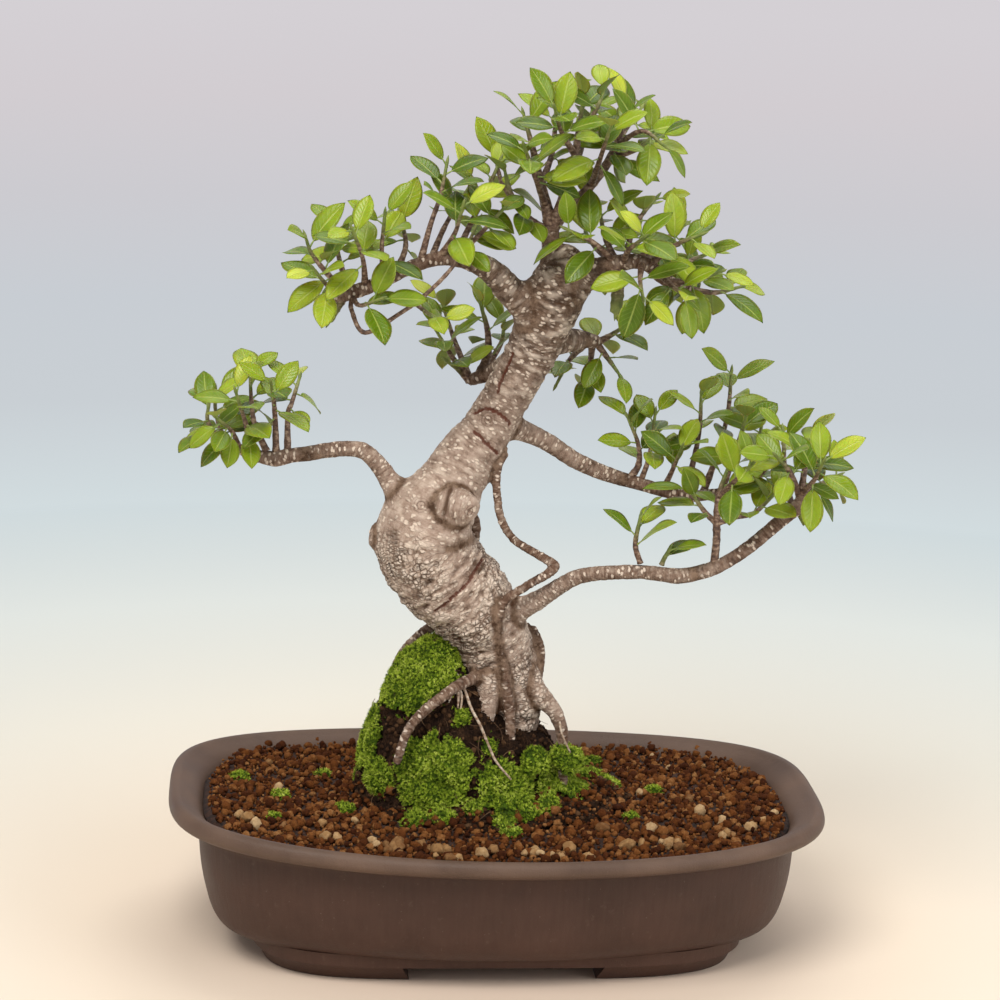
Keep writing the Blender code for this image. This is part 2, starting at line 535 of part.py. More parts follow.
def make_soil(material):
    """Granules packed between the mound and the wall of the pot."""
    inner = mound_edge(GAP, BED_SIDES)
    rim = [fired(x, y, BED_PROFILE[0][2]) for x, y in outline(*BED_PROFILE[0][:2], BED_SIDES)]
    rings = [[fired(x, y, BED_BOTTOM) for x, y in inner]]
    for share in BED_SHARES:
        ring = []
        for near, far in zip(inner, rim):
            x = near[0] * (1 - share) + far[0] * share
            y = near[1] * (1 - share) + far[1] * share
            ring.append(fired(x, y, soil_height(x, y)))
        rings.append(ring)
    rings.append(rim)
    for half_length, half_depth, z in BED_PROFILE[1:]:
        rings.append([fired(x, y, z) for x, y in outline(half_length, half_depth, BED_SIDES)])
    return loft("soil", rings, material, closed_loop=True)


def bump(x, y, middle_x, middle_y, half_length, half_depth, height, steepness):
    far = math.hypot((x - middle_x) / half_length, (y - middle_y) / half_depth)
    return height * max(0.0, 1 - far ** steepness)


def mound_height(x, y):
    lumps = PEAT_RELIEF * noise.noise(Vector((x / PEAT_LUMP, y / PEAT_LUMP, 1.7)))
    return SOIL_LEVEL + lumps + sum(bump(x, y, *shape) for shape in MOUND_BUMPS)


def mound_body(material=None):
    """The peat with no hole yet: its visible top, and below it the root ball that is sunk in the soil."""
    edge = mound_edge(0, MOUND_SIDES)
    narrow, shallow = BALL_TAPER
    rings = [
        [fired(x * narrow, y * shallow, BED_BOTTOM) for x, y in edge],
        [fired(x, y, BALL_LEVEL) for x, y in edge],
    ]
    for share in MOUND_SHARES:
        ring = []
        for x, y in edge:
            across = MOUND_X - MOUND_LEAN * (1 - share) + (x - MOUND_X) * share
            deep = MOUND_Y + (y - MOUND_Y) * share
            ring.append(fired(across, deep, mound_height(across, deep)))
        rings.append(ring)
    return loft("mound", rings, material, triangles=True)


def hole_shape(wood):
    """The wood swollen by the clearance that its hole in the peat needs."""
    swollen = bpy.data.objects.new("cutter", wood.data.copy())
    bpy.context.scene.collection.objects.link(swollen)
    normals = [vertex.normal.copy() for vertex in swollen.data.vertices]
    for vertex, normal in zip(swollen.data.vertices, normals):
        vertex.co += normal * HOLE_CLEARANCE * MM
    skin = swollen.modifiers.new("skin", "REMESH")
    skin.mode = "VOXEL"
    skin.voxel_size = HOLE_VOXEL * MM
    thin = swollen.modifiers.new("thin", "DECIMATE")
    thin.ratio = HOLE_DETAIL
    bake_modifiers(swollen)
    return swollen


def make_mound(wood, material):
    return combine(mound_body(material), "DIFFERENCE", [hole_shape(wood)])


def above_soil(corners):
    spots = [corner.co / MM for corner in corners]
    return all(spot.z > soil_height(spot.x, spot.y) + ROOM_OVER_SOIL for spot in spots)


def clear_of_wood(point, thickness, stations):
    gaps = np.linalg.norm(stations[:, :3] - np.asarray(point), axis=1) - stations[:, 3]
    return gaps.min() > thickness + ROOM_ROUND_WOOD


def make_cushions(stations, material):
    """Each cushion is a patch of the mound's own surface, lifted off it and domed."""
    mound = mound_body()
    surface = bmesh.new()
    surface.from_mesh(mound.data)
    surface.normal_update()
    surface.faces.ensure_lookup_table()
    strips = (len(surface.faces) - 2) // 2
    pairs = [(surface.faces[2 * k], surface.faces[2 * k + 1]) for k in range(strips)]
    taken = set()
    for name, (middle, reach, thickness) in CUSHIONS.items():
        centre = Vector((*middle, mound_height(*middle)))
        patch = []
        for pair in pairs:
            where = (pair[0].calc_center_median() + pair[1].calc_center_median()) / (2 * MM)
            corners = [corner for face in pair for corner in face.verts]
            near = (where - centre).length < reach
            near = near and not taken.intersection(corner.index for corner in corners)
            if near and above_soil(corners) and clear_of_wood(where, thickness, stations):
                patch += pair
        patch = largest_group(patch)
        taken.update(corner.index for face in patch for corner in face.verts)
        lift_patch(name, patch, centre, reach, thickness, material)
    surface.free()
    bpy.data.objects.remove(mound, do_unlink=True)


def largest_group(faces):
    """The faces that hang together edge to edge, in their largest group."""
    left, groups = set(faces), []
    while left:
        front, group = [left.pop()], []
        while front:
            face = front.pop()
            group.append(face)
            for edge in face.edges:
                for other in edge.link_faces:
                    if other in left:
                        left.discard(other)
                        front.append(other)
        groups.append(group)
    return max(groups, key=len)


def lift_patch(name, patch, centre, reach, thickness, material):
    corners = sorted({corner for face in patch for corner in face.verts}, key=lambda v: v.index)
    place = {corner.index: k for k, corner in enumerate(corners)}
    count = len(corners)
    inner, outer = [], []
    for corner in corners:
        spot = corner.co / MM
        dome = max(0.0, 1 - ((spot - centre).length / (reach * 1.15)) ** 2)
        lumps = 0.85 + 0.3 * noise.noise(spot / CUSHION_LUMP)
        swell = CUSHION_EDGE + thickness * math.sqrt(dome) * lumps
        inner.append(tuple(spot + corner.normal * GAP))
        outer.append(tuple(spot + corner.normal * (GAP + swell)))
    faces = []
    for face in patch:
        loop = [place[corner.index] for corner in face.verts]
        faces.append(tuple(k + count for k in loop))
        faces.append(tuple(reversed(loop)))
        for edge in face.edges:
            if sum(other in patch for other in edge.link_faces) == 1:
                a, b = (place[corner.index] for corner in edge.verts)
                faces.append((a, b, b + count, a + count))
    return add_object(name, inner + outer, faces, material)


# Wood


def smooth_route(route, steps):
    """A curve through the points of a route, by the Catmull-Rom rule."""
    nodes = [np.array(point, float) for point in route]
    nodes = [2 * nodes[0] - nodes[1]] + nodes + [2 * nodes[-1] - nodes[-2]]
    curve = []
    for before, start, end, after in zip(nodes, nodes[1:], nodes[2:], nodes[3:]):
        for step in range(steps):
            t = step / steps
            curve.append(0.5 * (
                2 * start + (end - before) * t + (2 * before - 5 * start + 4 * end - after) * t * t
                + (3 * start - before - 3 * end + after) * t ** 3
            ))
    curve.append(nodes[-2])
    return curve


def tube(name, route, sides, material=None):
    """A closed tube along a route of (x, y, z, radius)."""
    centres = [np.array(point[:3], float) for point in route]
    across = None
    rings = []
    for k, centre in enumerate(centres):
        ahead = centres[min(k + 1, len(centres) - 1)] - centres[max(k - 1, 0)]
        ahead /= np.linalg.norm(ahead)
        if across is None:
            across = np.cross(ahead, (0.31, 0.92, 0.22))
        across = across - ahead * (across @ ahead)
        across /= np.linalg.norm(across)
        other = np.cross(ahead, across)
        radius = route[k][3]
        angles = [2 * math.pi * step / sides for step in range(sides)]
        rings.append([centre + radius * (across * math.cos(a) + other * math.sin(a)) for a in angles])
    return loft(name, rings, material)


def bark_relief(spot):
    """Folds that run round the stem, deeper on the old lower trunk."""
    young, oldest = OLD_BARK
    age = min(1.0, max(0.25, (young - spot.z) / (young - oldest)))
    folds = noise.noise(Vector((spot.x / FOLD_LENGTH, spot.y / FOLD_LENGTH, spot.z / FOLD_SPACING)))
    lumps = noise.noise(spot / LUMP_SIZE)
    return age * (FOLD_HEIGHT * folds + LUMP_HEIGHT * lumps)


def wood_stations():
    """Points with a radius along the centre lines of all wood."""
    routes = [TRUNK, *LIMBS.values()]
    return np.array([tuple(point) for route in routes for point in smooth_route(route, 4)])


def nearest_radius(spot, stations):
    """Radius of the stem or root whose centre line runs nearest."""
    distances = np.linalg.norm(stations[:, :3] - np.array(spot), axis=1) - stations[:, 3]
    return stations[int(distances.argmin()), 3]


def make_wood(stations, material):
    """Trunk, limbs and roots are one grown piece: tubes joined, skinned as one and thinned out."""
    pieces = [tube("limb", smooth_route(TRUNK, 3), 20)]
    for route in LIMBS.values():
        pieces.append(tube("limb", smooth_route(route, 2), 12))
    wood = pieces[0]
    wood.name = "wood"
    with bpy.context.temp_override(active_object=wood, selected_editable_objects=pieces):
        bpy.ops.object.join()
    skin = wood.modifiers.new("skin", "REMESH")
    skin.mode = "VOXEL"
    skin.voxel_size = WOOD_VOXEL * MM
    soften = wood.modifiers.new("soften", "SMOOTH")
    soften.factor = 0.5
    soften.iterations = 5
    bake_modifiers(wood)
    normals = [vertex.normal.copy() for vertex in wood.data.vertices]
    for vertex, normal in zip(wood.data.vertices, normals):
        spot = vertex.co / MM
        share = min(1.0, max(0.0, (nearest_radius(spot, stations) - THIN_STEM) / 8))
        vertex.co += normal * (bark_relief(spot) - BARK_SUNK) * share * MM
    thin = wood.modifiers.new("thin", "DECIMATE")
    thin.ratio = WOOD_TRIANGLES / (2 * len(wood.data.polygons))
    bake_modifiers(wood)
    keep_largest_body(wood)
    wood.data.materials.clear()
    wood.data.materials.append(material)
    wood.data.shade_smooth()
    return wood


def keep_largest_body(item):
    body = bmesh.new()
    body.from_mesh(item.data)
    kept = set(largest_group(list(body.faces)))
    bmesh.ops.delete(body, geom=[face for face in body.faces if face not in kept], context="FACES")
    bmesh.ops.triangulate(body, faces=body.faces)
    body.to_mesh(item.data)
    body.free()


# Leaves


def walk_back(route, distance):
    """The point that lies this far before a route's end, and the route's direction there."""
    points = [np.array(point[:3], float) for point in route]
    for start, end in zip(reversed(points[:-1]), reversed(points[1:])):
        length = np.linalg.norm(end - start)
        ahead = (end - start) / length
        if distance <= length:
            return end - ahead * distance, ahead
        distance -= length
    return points[0], ahead


def leaf_axes(ahead, turn, lean, rng):
    """Direction of a leaf and the way its upper face looks."""
    side = np.cross(ahead, (0.25, 0.1, 0.96))
    side /= np.linalg.norm(side)
    other = np.cross(ahead, side)
    out = side * math.cos(turn) + other * math.sin(turn)
    direction = ahead * math.cos(lean) + out * math.sin(lean)
    direction[2] += RISE
    direction /= np.linalg.norm(direction)
    sway = np.array([rng.random(), rng.random(), rng.random()]) - 0.5
    up = LIGHT + SWAY * sway - 0.2 * out
    face = up - direction * (up @ direction)
    return direction, face / np.linalg.norm(face)


def blade_point(leaf, along, across):
    """A point of the blade: along it from 0 at the stalk to 1 at the tip, across it from -1 to 1."""
    root, direction, face, length, droop = leaf
    side = np.cross(direction, face)
    half = 0.5 * BLADE_WIDTH * length * math.sin(math.pi * min(1.0, along) ** 0.85) ** 0.7
    lift = BLADE_CURL * abs(across) * half
    midrib = length * (direction * along - face * droop * along ** 2)
    start = root + direction * STALK_LENGTH
    return start + midrib + side * across * half + face * lift


def leaf_samples(leaf):
    return np.array([
        blade_point(leaf, along, across)
        for along in ALONG_SAMPLES
        for across in ACROSS_SAMPLES
    ])


class Crowding:
    """Remembers what already takes up room, so that leaves grow clear of it."""

    def __init__(self):
        self.spots = np.empty((0, 3))
        self.sizes = np.empty(0)

    def add(self, spots, sizes):
        self.spots = np.vstack([self.spots, spots])
        self.sizes = np.concatenate([self.sizes, np.broadcast_to(sizes, len(spots))])

    def add_route(self, route, spare):
        for start, end in zip(route, route[1:]):
            start, end = np.array(start, float), np.array(end, float)
            count = max(2, int(np.linalg.norm(end[:3] - start[:3]) / 1.5))
            line = np.linspace(start, end, count)
            self.add(line[:, :3], line[:, 3] + spare)

    def room_for(self, samples, clearance):
        """Whether the samples of one leaf keep this far from everything; only what is near is measured."""
        middle = samples.mean(axis=0)
        reach = np.linalg.norm(samples - middle, axis=1).max() + clearance
        near = np.linalg.norm(self.spots - middle, axis=1) - self.sizes < reach
        if not near.any():
            return True
        gaps = np.linalg.norm(samples[:, None, :] - self.spots[None, near, :], axis=2)
        return (gaps - self.sizes[None, near]).min() > clearance


def in_pad(samples, pad):
    left, right, low, high = pad
    inside = (samples[:, 0] > left) & (samples[:, 0] < right)
    return (inside & (samples[:, 2] > low) & (samples[:, 2] < high)).all()


def grow_leaves(route, count, pad, rng, crowd):
    """Leaves in a spiral down from a shoot's tip, each turned until it has room inside its pad."""
    leaves = []
    turn = rng.uniform(0, 2 * math.pi)
    for k in range(count):
        turn += GOLDEN_ANGLE
        spot, ahead = walk_back(route, 1.0 + INTERNODE * k)
        for attempt in range(LEAF_TRIES):
            lean = math.radians(rng.uniform(*LEANS) + LEAN_STEP * k + 2 * attempt)
            swing = turn + rng.uniform(-0.5, 0.5) * (1 + 0.35 * attempt)
            direction, face = leaf_axes(ahead, swing, min(lean, WIDEST_LEAN), rng)
            length = BLADE_LENGTH * rng.uniform(*SIZES) * 0.985 ** attempt
            if k == 0:
                length *= YOUNGEST_SIZE
            leaf = (spot, direction, face, length, rng.uniform(*DROOPS))
            samples = leaf_samples(leaf)
            first_row, others = samples[:len(ACROSS_SAMPLES)], samples[len(ACROSS_SAMPLES):]
            free = crowd.room_for(others, LEAF_CLEARANCE) and crowd.room_for(first_row, ROOT_CLEARANCE)
            if free and in_pad(samples, pad):
                crowd.add(samples, 0.0)
                leaves.append(leaf)
                break
    return leaves


def leaf_object(leaf):
    """A thin arched blade with a keel below, tapering into the stalk that is sunk in its shoot."""
    root, direction, face, _, _ = leaf
    near, far = SECTIONS
    points = [
        root - direction * SUNK_ROOT, blade_point(leaf, near, -1), blade_point(leaf, near, 1),
        blade_point(leaf, near, 0) - face * BLADE_THICKNESS,
        blade_point(leaf, far, -1), blade_point(leaf, far, 1), blade_point(leaf, 1.0, 0),
    ]
    upper = [(0, 1, 2), (1, 4, 5, 2), (4, 6, 5)]
    lower = [(0, 3, 1), (0, 2, 3), (1, 3, 4), (2, 5, 3), (3, 6, 4), (3, 5, 6)]
    return add_object("leaf", points, upper + lower)


def twig_sides(route):
    return 6 if route[0][3] > 3.0 else 4


def continued(stem):
    """The stem's route, starting square to the cut end of its limb and clear of it."""
    start = np.array(stem[0][:3], float)
    limb = min(LIMBS.values(), key=lambda route: np.linalg.norm(np.array(route[-1][:3]) - start))
    ahead = np.array(limb[-1][:3], float) - np.array(limb[-2][:3], float)
    ahead /= np.linalg.norm(ahead)
    radius = stem[0][3]
    return [(*(start + ahead * GAP * 1.5), radius), (*(start + ahead * 2.2), radius), *stem[1:]]


def fuse(stem, parts, material):
    """One body of a stem with the twigs and leaves that stand on it."""
    combine(stem, "UNION", parts, "MANIFOLD")
    keep_largest_body(stem)
    stem.data.materials.clear()
    stem.data.materials.append(material)


def grow_spray(name, stem, twigs, rng, crowd, material):
    """One node: the end of a limb with its twigs and their leaves fused on."""
    parts = [tube("twig", route, twig_sides(route)) for route, _ in twigs]
    for route, count in twigs:
        parts += [leaf_object(leaf) for leaf in grow_leaves(route, count, PADS[name], rng, crowd)]
    fuse(tube(name, continued(stem), 7), parts, material)


def grow_shoot(name, route, count, rng, crowd, material):
    """A young shoot that stands on the bark by itself, with its leaves."""
    leaves = [leaf_object(leaf) for leaf in grow_leaves(route, count, PADS[name], rng, crowd)]
    fuse(tube(name, route, 6), leaves, material)


def wood_crowding():
    """Room that all stems and twigs take up, before any leaf grows."""
    crowd = Crowding()
    for route in [TRUNK, *LIMBS.values()]:
        crowd.add_route(route, ROOM_BESIDE_LIMB)
    for stem, twigs in SPRAYS.values():
        crowd.add_route(stem, ROOM_BESIDE_STEM)
        for route, _ in twigs:
            crowd.add_route(route, ROOM_BESIDE_TWIG)
    for route, _ in SHOOTS.values():
        crowd.add_route(route, ROOM_BESIDE_TWIG)
    return crowd


def main():
    clear_scene()
    stoneware = make_material("stoneware", (0.062, 0.040, 0.031), 0.62)
    plastic = make_material("plastic", (0.02, 0.02, 0.02), 0.5)
    granules = make_material("granules", (0.15, 0.052, 0.022), 0.95)
    peat = make_material("peat", (0.030, 0.019, 0.013), 1.0)
    moss = make_material("moss", (0.10, 0.22, 0.012), 0.9)
    bark = make_material("bark", (0.25, 0.19, 0.145), 0.8)
    leaf = make_material("leaf", (0.10, 0.25, 0.025), 0.38)

    make_pot(stoneware)
    make_drain_mesh("drain_mesh_left", -DRAIN_HOLE_X, plastic)
    make_drain_mesh("drain_mesh_right", DRAIN_HOLE_X, plastic)
    make_soil(granules)

    stations = wood_stations()
    wood = make_wood(stations, bark)
    make_mound(wood, peat)
    make_cushions(stations, moss)

    crowd = wood_crowding()
    for number, (name, (stem, twigs)) in enumerate(SPRAYS.items()):
        grow_spray(name, stem, twigs, random.Random(100 + number), crowd, leaf)
    for number, (name, (route, count)) in enumerate(SHOOTS.items()):
        grow_shoot(name, route, count, random.Random(200 + number), crowd, leaf)

    for item in bpy.context.scene.objects:
        item.location.x = ORIGIN_SHIFT * MM


main()
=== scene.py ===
# %% [markdown]
# # A ficus bonsai in its oval pot
# This notebook dresses a plain solid model of a small fig tree in a stoneware pot. The solid model
# fixes where everything is and how big it is. Each step below replaces one of its coarse solids by
# a finer piece of the same form, or adds what a solid model leaves out, such as bark, leaf veins,
# crumbs of soil and moss. We first load the solid model and list its parts.

# %%
import math
import random

import bmesh
import bpy
import numpy as np
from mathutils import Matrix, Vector, noise
from numpy.linalg import norm


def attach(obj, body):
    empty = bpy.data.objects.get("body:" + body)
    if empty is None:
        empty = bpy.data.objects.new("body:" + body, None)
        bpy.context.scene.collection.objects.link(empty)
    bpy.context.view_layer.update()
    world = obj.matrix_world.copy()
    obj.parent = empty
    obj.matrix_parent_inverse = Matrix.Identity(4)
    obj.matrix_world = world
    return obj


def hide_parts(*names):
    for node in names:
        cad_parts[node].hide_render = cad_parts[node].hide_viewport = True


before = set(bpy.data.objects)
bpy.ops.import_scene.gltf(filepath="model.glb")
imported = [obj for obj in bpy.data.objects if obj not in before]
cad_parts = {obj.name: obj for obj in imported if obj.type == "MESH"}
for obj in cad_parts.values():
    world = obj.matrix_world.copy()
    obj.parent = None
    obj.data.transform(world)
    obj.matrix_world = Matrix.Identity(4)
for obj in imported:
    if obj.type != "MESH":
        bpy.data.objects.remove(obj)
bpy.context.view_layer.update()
print("nodes:", ", ".join(sorted(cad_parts)))

# %% [markdown]
# ## Units and a smooth route
# A small object like this one is measured in millimetres, and Blender counts in metres.
# We write every length in millimetres and turn it into metres in one place. Wood, the pot's wall
# and twigs all follow curves through a few chosen points. We draw those curves by the
# Catmull-Rom rule, because it passes through every point that we choose.

# %%
MM = 0.001
ORIGIN_SHIFT = -2.2  # moves the model along X, from the pot's middle to the middle of the whole


def limited(value, low=0.0, high=1.0):
    """The value, or the nearer end of the range if it lies outside"""
    return min(high, max(low, value))


def unit(vector):
    """The same direction with a length of 1"""
    return vector / norm(vector)


def new_object(name, data):
    """An object in the scene that shows a mesh, a lamp or a camera"""
    item = bpy.data.objects.new(name, data)
    bpy.context.scene.collection.objects.link(item)
    return item


def smooth_route(route, steps):
    """A curve through the points of a route, by the Catmull-Rom rule"""
    nodes = [np.array(point, float) for point in route]
    nodes = [2 * nodes[0] - nodes[1]] + nodes + [2 * nodes[-1] - nodes[-2]]
    curve = []
    for before, start, end, after in zip(nodes, nodes[1:], nodes[2:], nodes[3:]):
        for step in range(steps):
            t = step / steps
            curve.append(0.5 * (
                2 * start + (end - before) * t + (2 * before - 5 * start + 4 * end - after) * t * t
                + (3 * start - before - 3 * end + after) * t ** 3
            ))
    curve.append(nodes[-2])
    return curve


def mesh_object(name, points, faces):
    """A smooth mesh object from points in millimetres"""
    mesh = bpy.data.meshes.new(name)
    spots = np.array(points, float)
    spots[:, 0] += ORIGIN_SHIFT
    mesh.from_pydata((spots * MM).tolist(), [], faces)
    mesh.shade_smooth()
    return new_object(name, mesh)


def declare(piece, paint, slot, *nodes):
    """Gives a finished piece its paint, and hides the solids it stands for"""
    piece.data.materials.clear()
    piece.data.materials.append(paint.material)
    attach(piece, "root")
    if nodes:
        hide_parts(*nodes)
    print(piece.name, len(piece.data.polygons), "faces")
    return piece


def store(piece, name, values):
    """Keeps one number or vector per point, for the material to read"""
    values = np.asarray(values, np.float32)
    kind, field = ("FLOAT", "value") if values.ndim == 1 else ("FLOAT_VECTOR", "vector")
    piece.data.attributes.new(name, kind, "POINT").data.foreach_set(field, values.ravel())


def face_outwards(item):
    """Turns all faces of an object outwards"""
    shaped = bmesh.new()
    shaped.from_mesh(item.data)
    bmesh.ops.recalc_face_normals(shaped, faces=shaped.faces)
    shaped.to_mesh(item.data)
    shaped.free()
    return item


def rings_mesh(name, rings, closed_loop=False):
    """Skins rings of equal point count. The first and last ring are capped unless they join up"""
    sides = len(rings[0])
    points = [point for ring in rings for point in ring]
    faces = []
    bands = len(rings) if closed_loop else len(rings) - 1
    for band in range(bands):
        low, high = band * sides, (band + 1) % len(rings) * sides
        for step in range(sides):
            after = (step + 1) % sides
            faces.append((low + step, low + after, high + after, high + step))
    if not closed_loop:
        faces.append(tuple(reversed(range(sides))))
        faces.append(tuple(range(bands * sides, (bands + 1) * sides)))
    return face_outwards(mesh_object(name, points, faces))


def bake_modifiers(item):
    """Replaces the object's mesh by what its modifiers make of it"""
    graph = bpy.context.evaluated_depsgraph_get()
    baked = bpy.data.meshes.new_from_object(item.evaluated_get(graph))
    item.modifiers.clear()
    item.data = baked


def combine(item, operation, others):
    """One Boolean of the object with all the others, which are then removed"""
    group = bpy.data.collections.new("operands")
    bpy.context.scene.collection.children.link(group)
    for other in others:
        bpy.context.scene.collection.objects.unlink(other)
        group.objects.link(other)
    boolean = item.modifiers.new("combine", "BOOLEAN")
    boolean.operation = operation
    boolean.operand_type = "COLLECTION"
    boolean.collection = group
    boolean.solver = "EXACT"
    bake_modifiers(item)
    for other in others:
        bpy.data.objects.remove(other, do_unlink=True)
    bpy.data.collections.remove(group)


print("a test curve has", len(smooth_route([(0, 0), (10, 5), (20, 0)], 4)), "points")

# %% [markdown]
# ## Painting by rule
# Clay, bark, leaf and moss have no drawing on them that would need a picture. Their colour comes
# from grain, cells and streaks of a known size, so each material here is a small set of texture
# nodes. The class below keeps that short. It turns the object's own coordinates into millimetres,
# so that every texture size can be read as a real length, and it leads each result into one
# Principled shader.

# %%
class Paint:
    """A procedural material whose texture sizes are in millimetres"""

    def __init__(self, name, **plain):
        self.material = bpy.data.materials.new(name)
        self.material.use_nodes = True
        self.tree = self.material.node_tree
        self.shader = self.tree.nodes["Principled BSDF"]
        for socket, value in plain.items():
            self.shader.inputs[socket.replace("_", " ")].default_value = value
        coordinates = self.node("TexCoord").outputs["Object"]
        self.spot = self.vector("MULTIPLY", coordinates, (1000, 1000, 1000))

    def node(self, kind, inputs=None, **settings):
        made = self.tree.nodes.new("ShaderNode" + kind)
        for field, value in settings.items():
            setattr(made, field, value)
        for socket, value in (inputs or {}).items():
            if isinstance(value, bpy.types.NodeSocket):
                self.tree.links.new(value, made.inputs[socket])
            else:
                made.inputs[socket].default_value = value
        return made

    def vector(self, operation, first, second):
        return self.node("VectorMath", {0: first, 1: second}, operation=operation).outputs[0]

    def math(self, operation, first, second=0.0, clamp=False):
        inputs = {0: first, 1: second}
        return self.node("Math", inputs, operation=operation, use_clamp=clamp).outputs[0]

    def plus(self, first, second):
        return self.math("ADD", first, second)

    def times(self, first, second):
        return self.math("MULTIPLY", first, second)

    def mean(self, first, second):
        return self.math("DIVIDE", self.plus(first, second), 2.0)

    def scaled(self, size, spot):
        """A place counted in texture sizes; the size may differ for X, Y and Z"""
        sizes = size if isinstance(size, tuple) else (size, size, size)
        return self.vector("DIVIDE", spot or self.spot, sizes)

    def noise(self, size, detail=3.0, spot=None, rough=0.55, warp=0.0, output=0):
        """Clouds whose lumps measure about this size"""
        inputs = {"Vector": self.scaled(size, spot), "Scale": 1.0}
        inputs |= {"Detail": detail, "Roughness": rough, "Distortion": warp}
        return self.node("TexNoise", inputs).outputs[output]

    def cells(self, size, spot=None, feature="F1"):
        """Packed cells of about this size"""
        inputs = {"Vector": self.scaled(size, spot), "Scale": 1.0}
        return self.node("TexVoronoi", inputs, feature=feature).outputs["Distance"]

    def ramp(self, factor, *stops):
        """Colours or greys by factor, as pairs of position and value"""
        made = self.node("ValToRGB", {"Fac": factor})
        elements = made.color_ramp.elements
        while len(elements) < len(stops):
            elements.new(0.5)
        for element, (position, value) in zip(elements, stops):
            element.position = position
            element.color = (*(value if isinstance(value, tuple) else (value, value, value)), 1.0)
        return made.outputs[0]

    def mix(self, factor, *colours):
        """Goes from the first colour to the second by factor"""
        first, second = [(*value, 1.0) if isinstance(value, tuple) else value for value in colours]
        return self.node("Mix", {0: factor, 6: first, 7: second}, data_type="RGBA").outputs[2]

    def height(self, span):
        """Height above the floor, counted in this many millimetres"""
        return self.math("DIVIDE", self.node("SeparateXYZ", {0: self.spot}).outputs["Z"], span)

    def read(self, attribute, output="Fac"):
        """A value that the mesh keeps for each of its points"""
        return self.node("Attribute", attribute_name=attribute).outputs[output]

    def colour(self, socket):
        self.tree.links.new(socket, self.shader.inputs["Base Color"])

    def shades(self, factor, *stops):
        """Colours the surface by one ramp"""
        self.colour(self.ramp(factor, *stops))

    def roughness(self, socket):
        self.tree.links.new(socket, self.shader.inputs["Roughness"])

    def bump(self, height, depth):
        """A relief whose full height is this many millimetres"""
        inputs = {"Height": height, "Distance": depth * MM, "Strength": 1.0}
        made = self.node("Bump", inputs)
        self.tree.links.new(made.outputs["Normal"], self.shader.inputs["Normal"])


print("a paint is one shader fed by textures in millimetres")

# %% [markdown]
# ## Camera
# The tree was photographed from the front, a little from the left and above, with a long lens
# that keeps the pot's ellipse flat. The camera's place is worked out from two angles and a
# distance. It then leans by one and a half degrees, as the camera that took the picture did.

# %%
YAW, ELEVATION, LEAN = math.radians(-4.8), math.radians(12.2), math.radians(1.5)
DISTANCE, TARGET = 1600.0, Vector((-1.4 + ORIGIN_SHIFT, 0.0, 239.1))
SENSOR, FOCAL_SHARE = 36.0, 3.02  # focal length in picture widths
NEAREST_SEEN = 0.05  # in metres

backwards = Vector((
    math.sin(YAW) * math.cos(ELEVATION), -math.cos(YAW) * math.cos(ELEVATION), math.sin(ELEVATION),
))
level = (-backwards).cross(Vector((0, 0, 1))).normalized()
upright = level.cross(-backwards)
right = level * math.cos(LEAN) + upright * math.sin(LEAN)
up = upright * math.cos(LEAN) - level * math.sin(LEAN)

camera = new_object("camera", bpy.data.cameras.new("camera"))
camera.data.sensor_width = SENSOR
camera.data.lens = SENSOR * FOCAL_SHARE
camera.data.clip_start = NEAREST_SEEN
place = (TARGET + backwards * DISTANCE) * MM
for row in range(3):
    camera.matrix_world[row][0:4] = (right[row], up[row], backwards[row], place[row])
bpy.context.scene.camera = camera
print("camera at", [round(value, 3) for value in camera.matrix_world.translation])

# %% [markdown]
# ## Floor and light
# The tree stands on a wide pale floor that ends far away, so it looks the same from any side.
# The floor is cream round the pot and goes over a pale green and a pale blue to a greyish lilac,
# as the ground of the picture does. A disc of rings does this: each point keeps how far out it
# lies, and the colour is a ramp over that share. No lamp reaches the far floor, so it glows by
# itself there, and its last ring stands up as a low round wall that hides the edge. Large soft
# lights leave only faint shadows.

# %%
FLOOR_EDGE, HALF_WAY = 40000.0, 1500.0
FLOOR_RINGS, FLOOR_SIDES, WALL_HEIGHT = 60, 96, 16000.0
FLOOR_LEVEL = -0.05  # just under the pot's feet


def floor_disc():
    """A flat disc whose rings lie closer together near the pot, with each point's share of the way"""
    farthest = FLOOR_EDGE / (FLOOR_EDGE + HALF_WAY)
    shares = np.linspace(0.0, farthest, FLOOR_RINGS + 1)[1:]
    radii = shares * HALF_WAY / (1 - shares)
    angles = np.arange(FLOOR_SIDES) * 2 * math.pi / FLOOR_SIDES
    points = [(0.0, 0.0, FLOOR_LEVEL)]
    points += [(r * math.cos(a), r * math.sin(a), FLOOR_LEVEL) for r in radii for a in angles]
    points += [(x, y, WALL_HEIGHT) for x, y, _ in points[-FLOOR_SIDES:]]
    faces = [(0, 1 + k, 1 + (k + 1) % FLOOR_SIDES) for k in range(FLOOR_SIDES)]
    for ring in range(FLOOR_RINGS):
        inner, outer = 1 + ring * FLOOR_SIDES, 1 + (ring + 1) * FLOOR_SIDES
        for k in range(FLOOR_SIDES):
            after = (k + 1) % FLOOR_SIDES
            faces.append((inner + k, outer + k, outer + after, inner + after))
    disc = mesh_object("floor", points, faces)
    store(disc, "share", np.concatenate([[0.0], np.repeat([*shares, farthest], FLOOR_SIDES)]))
    return disc


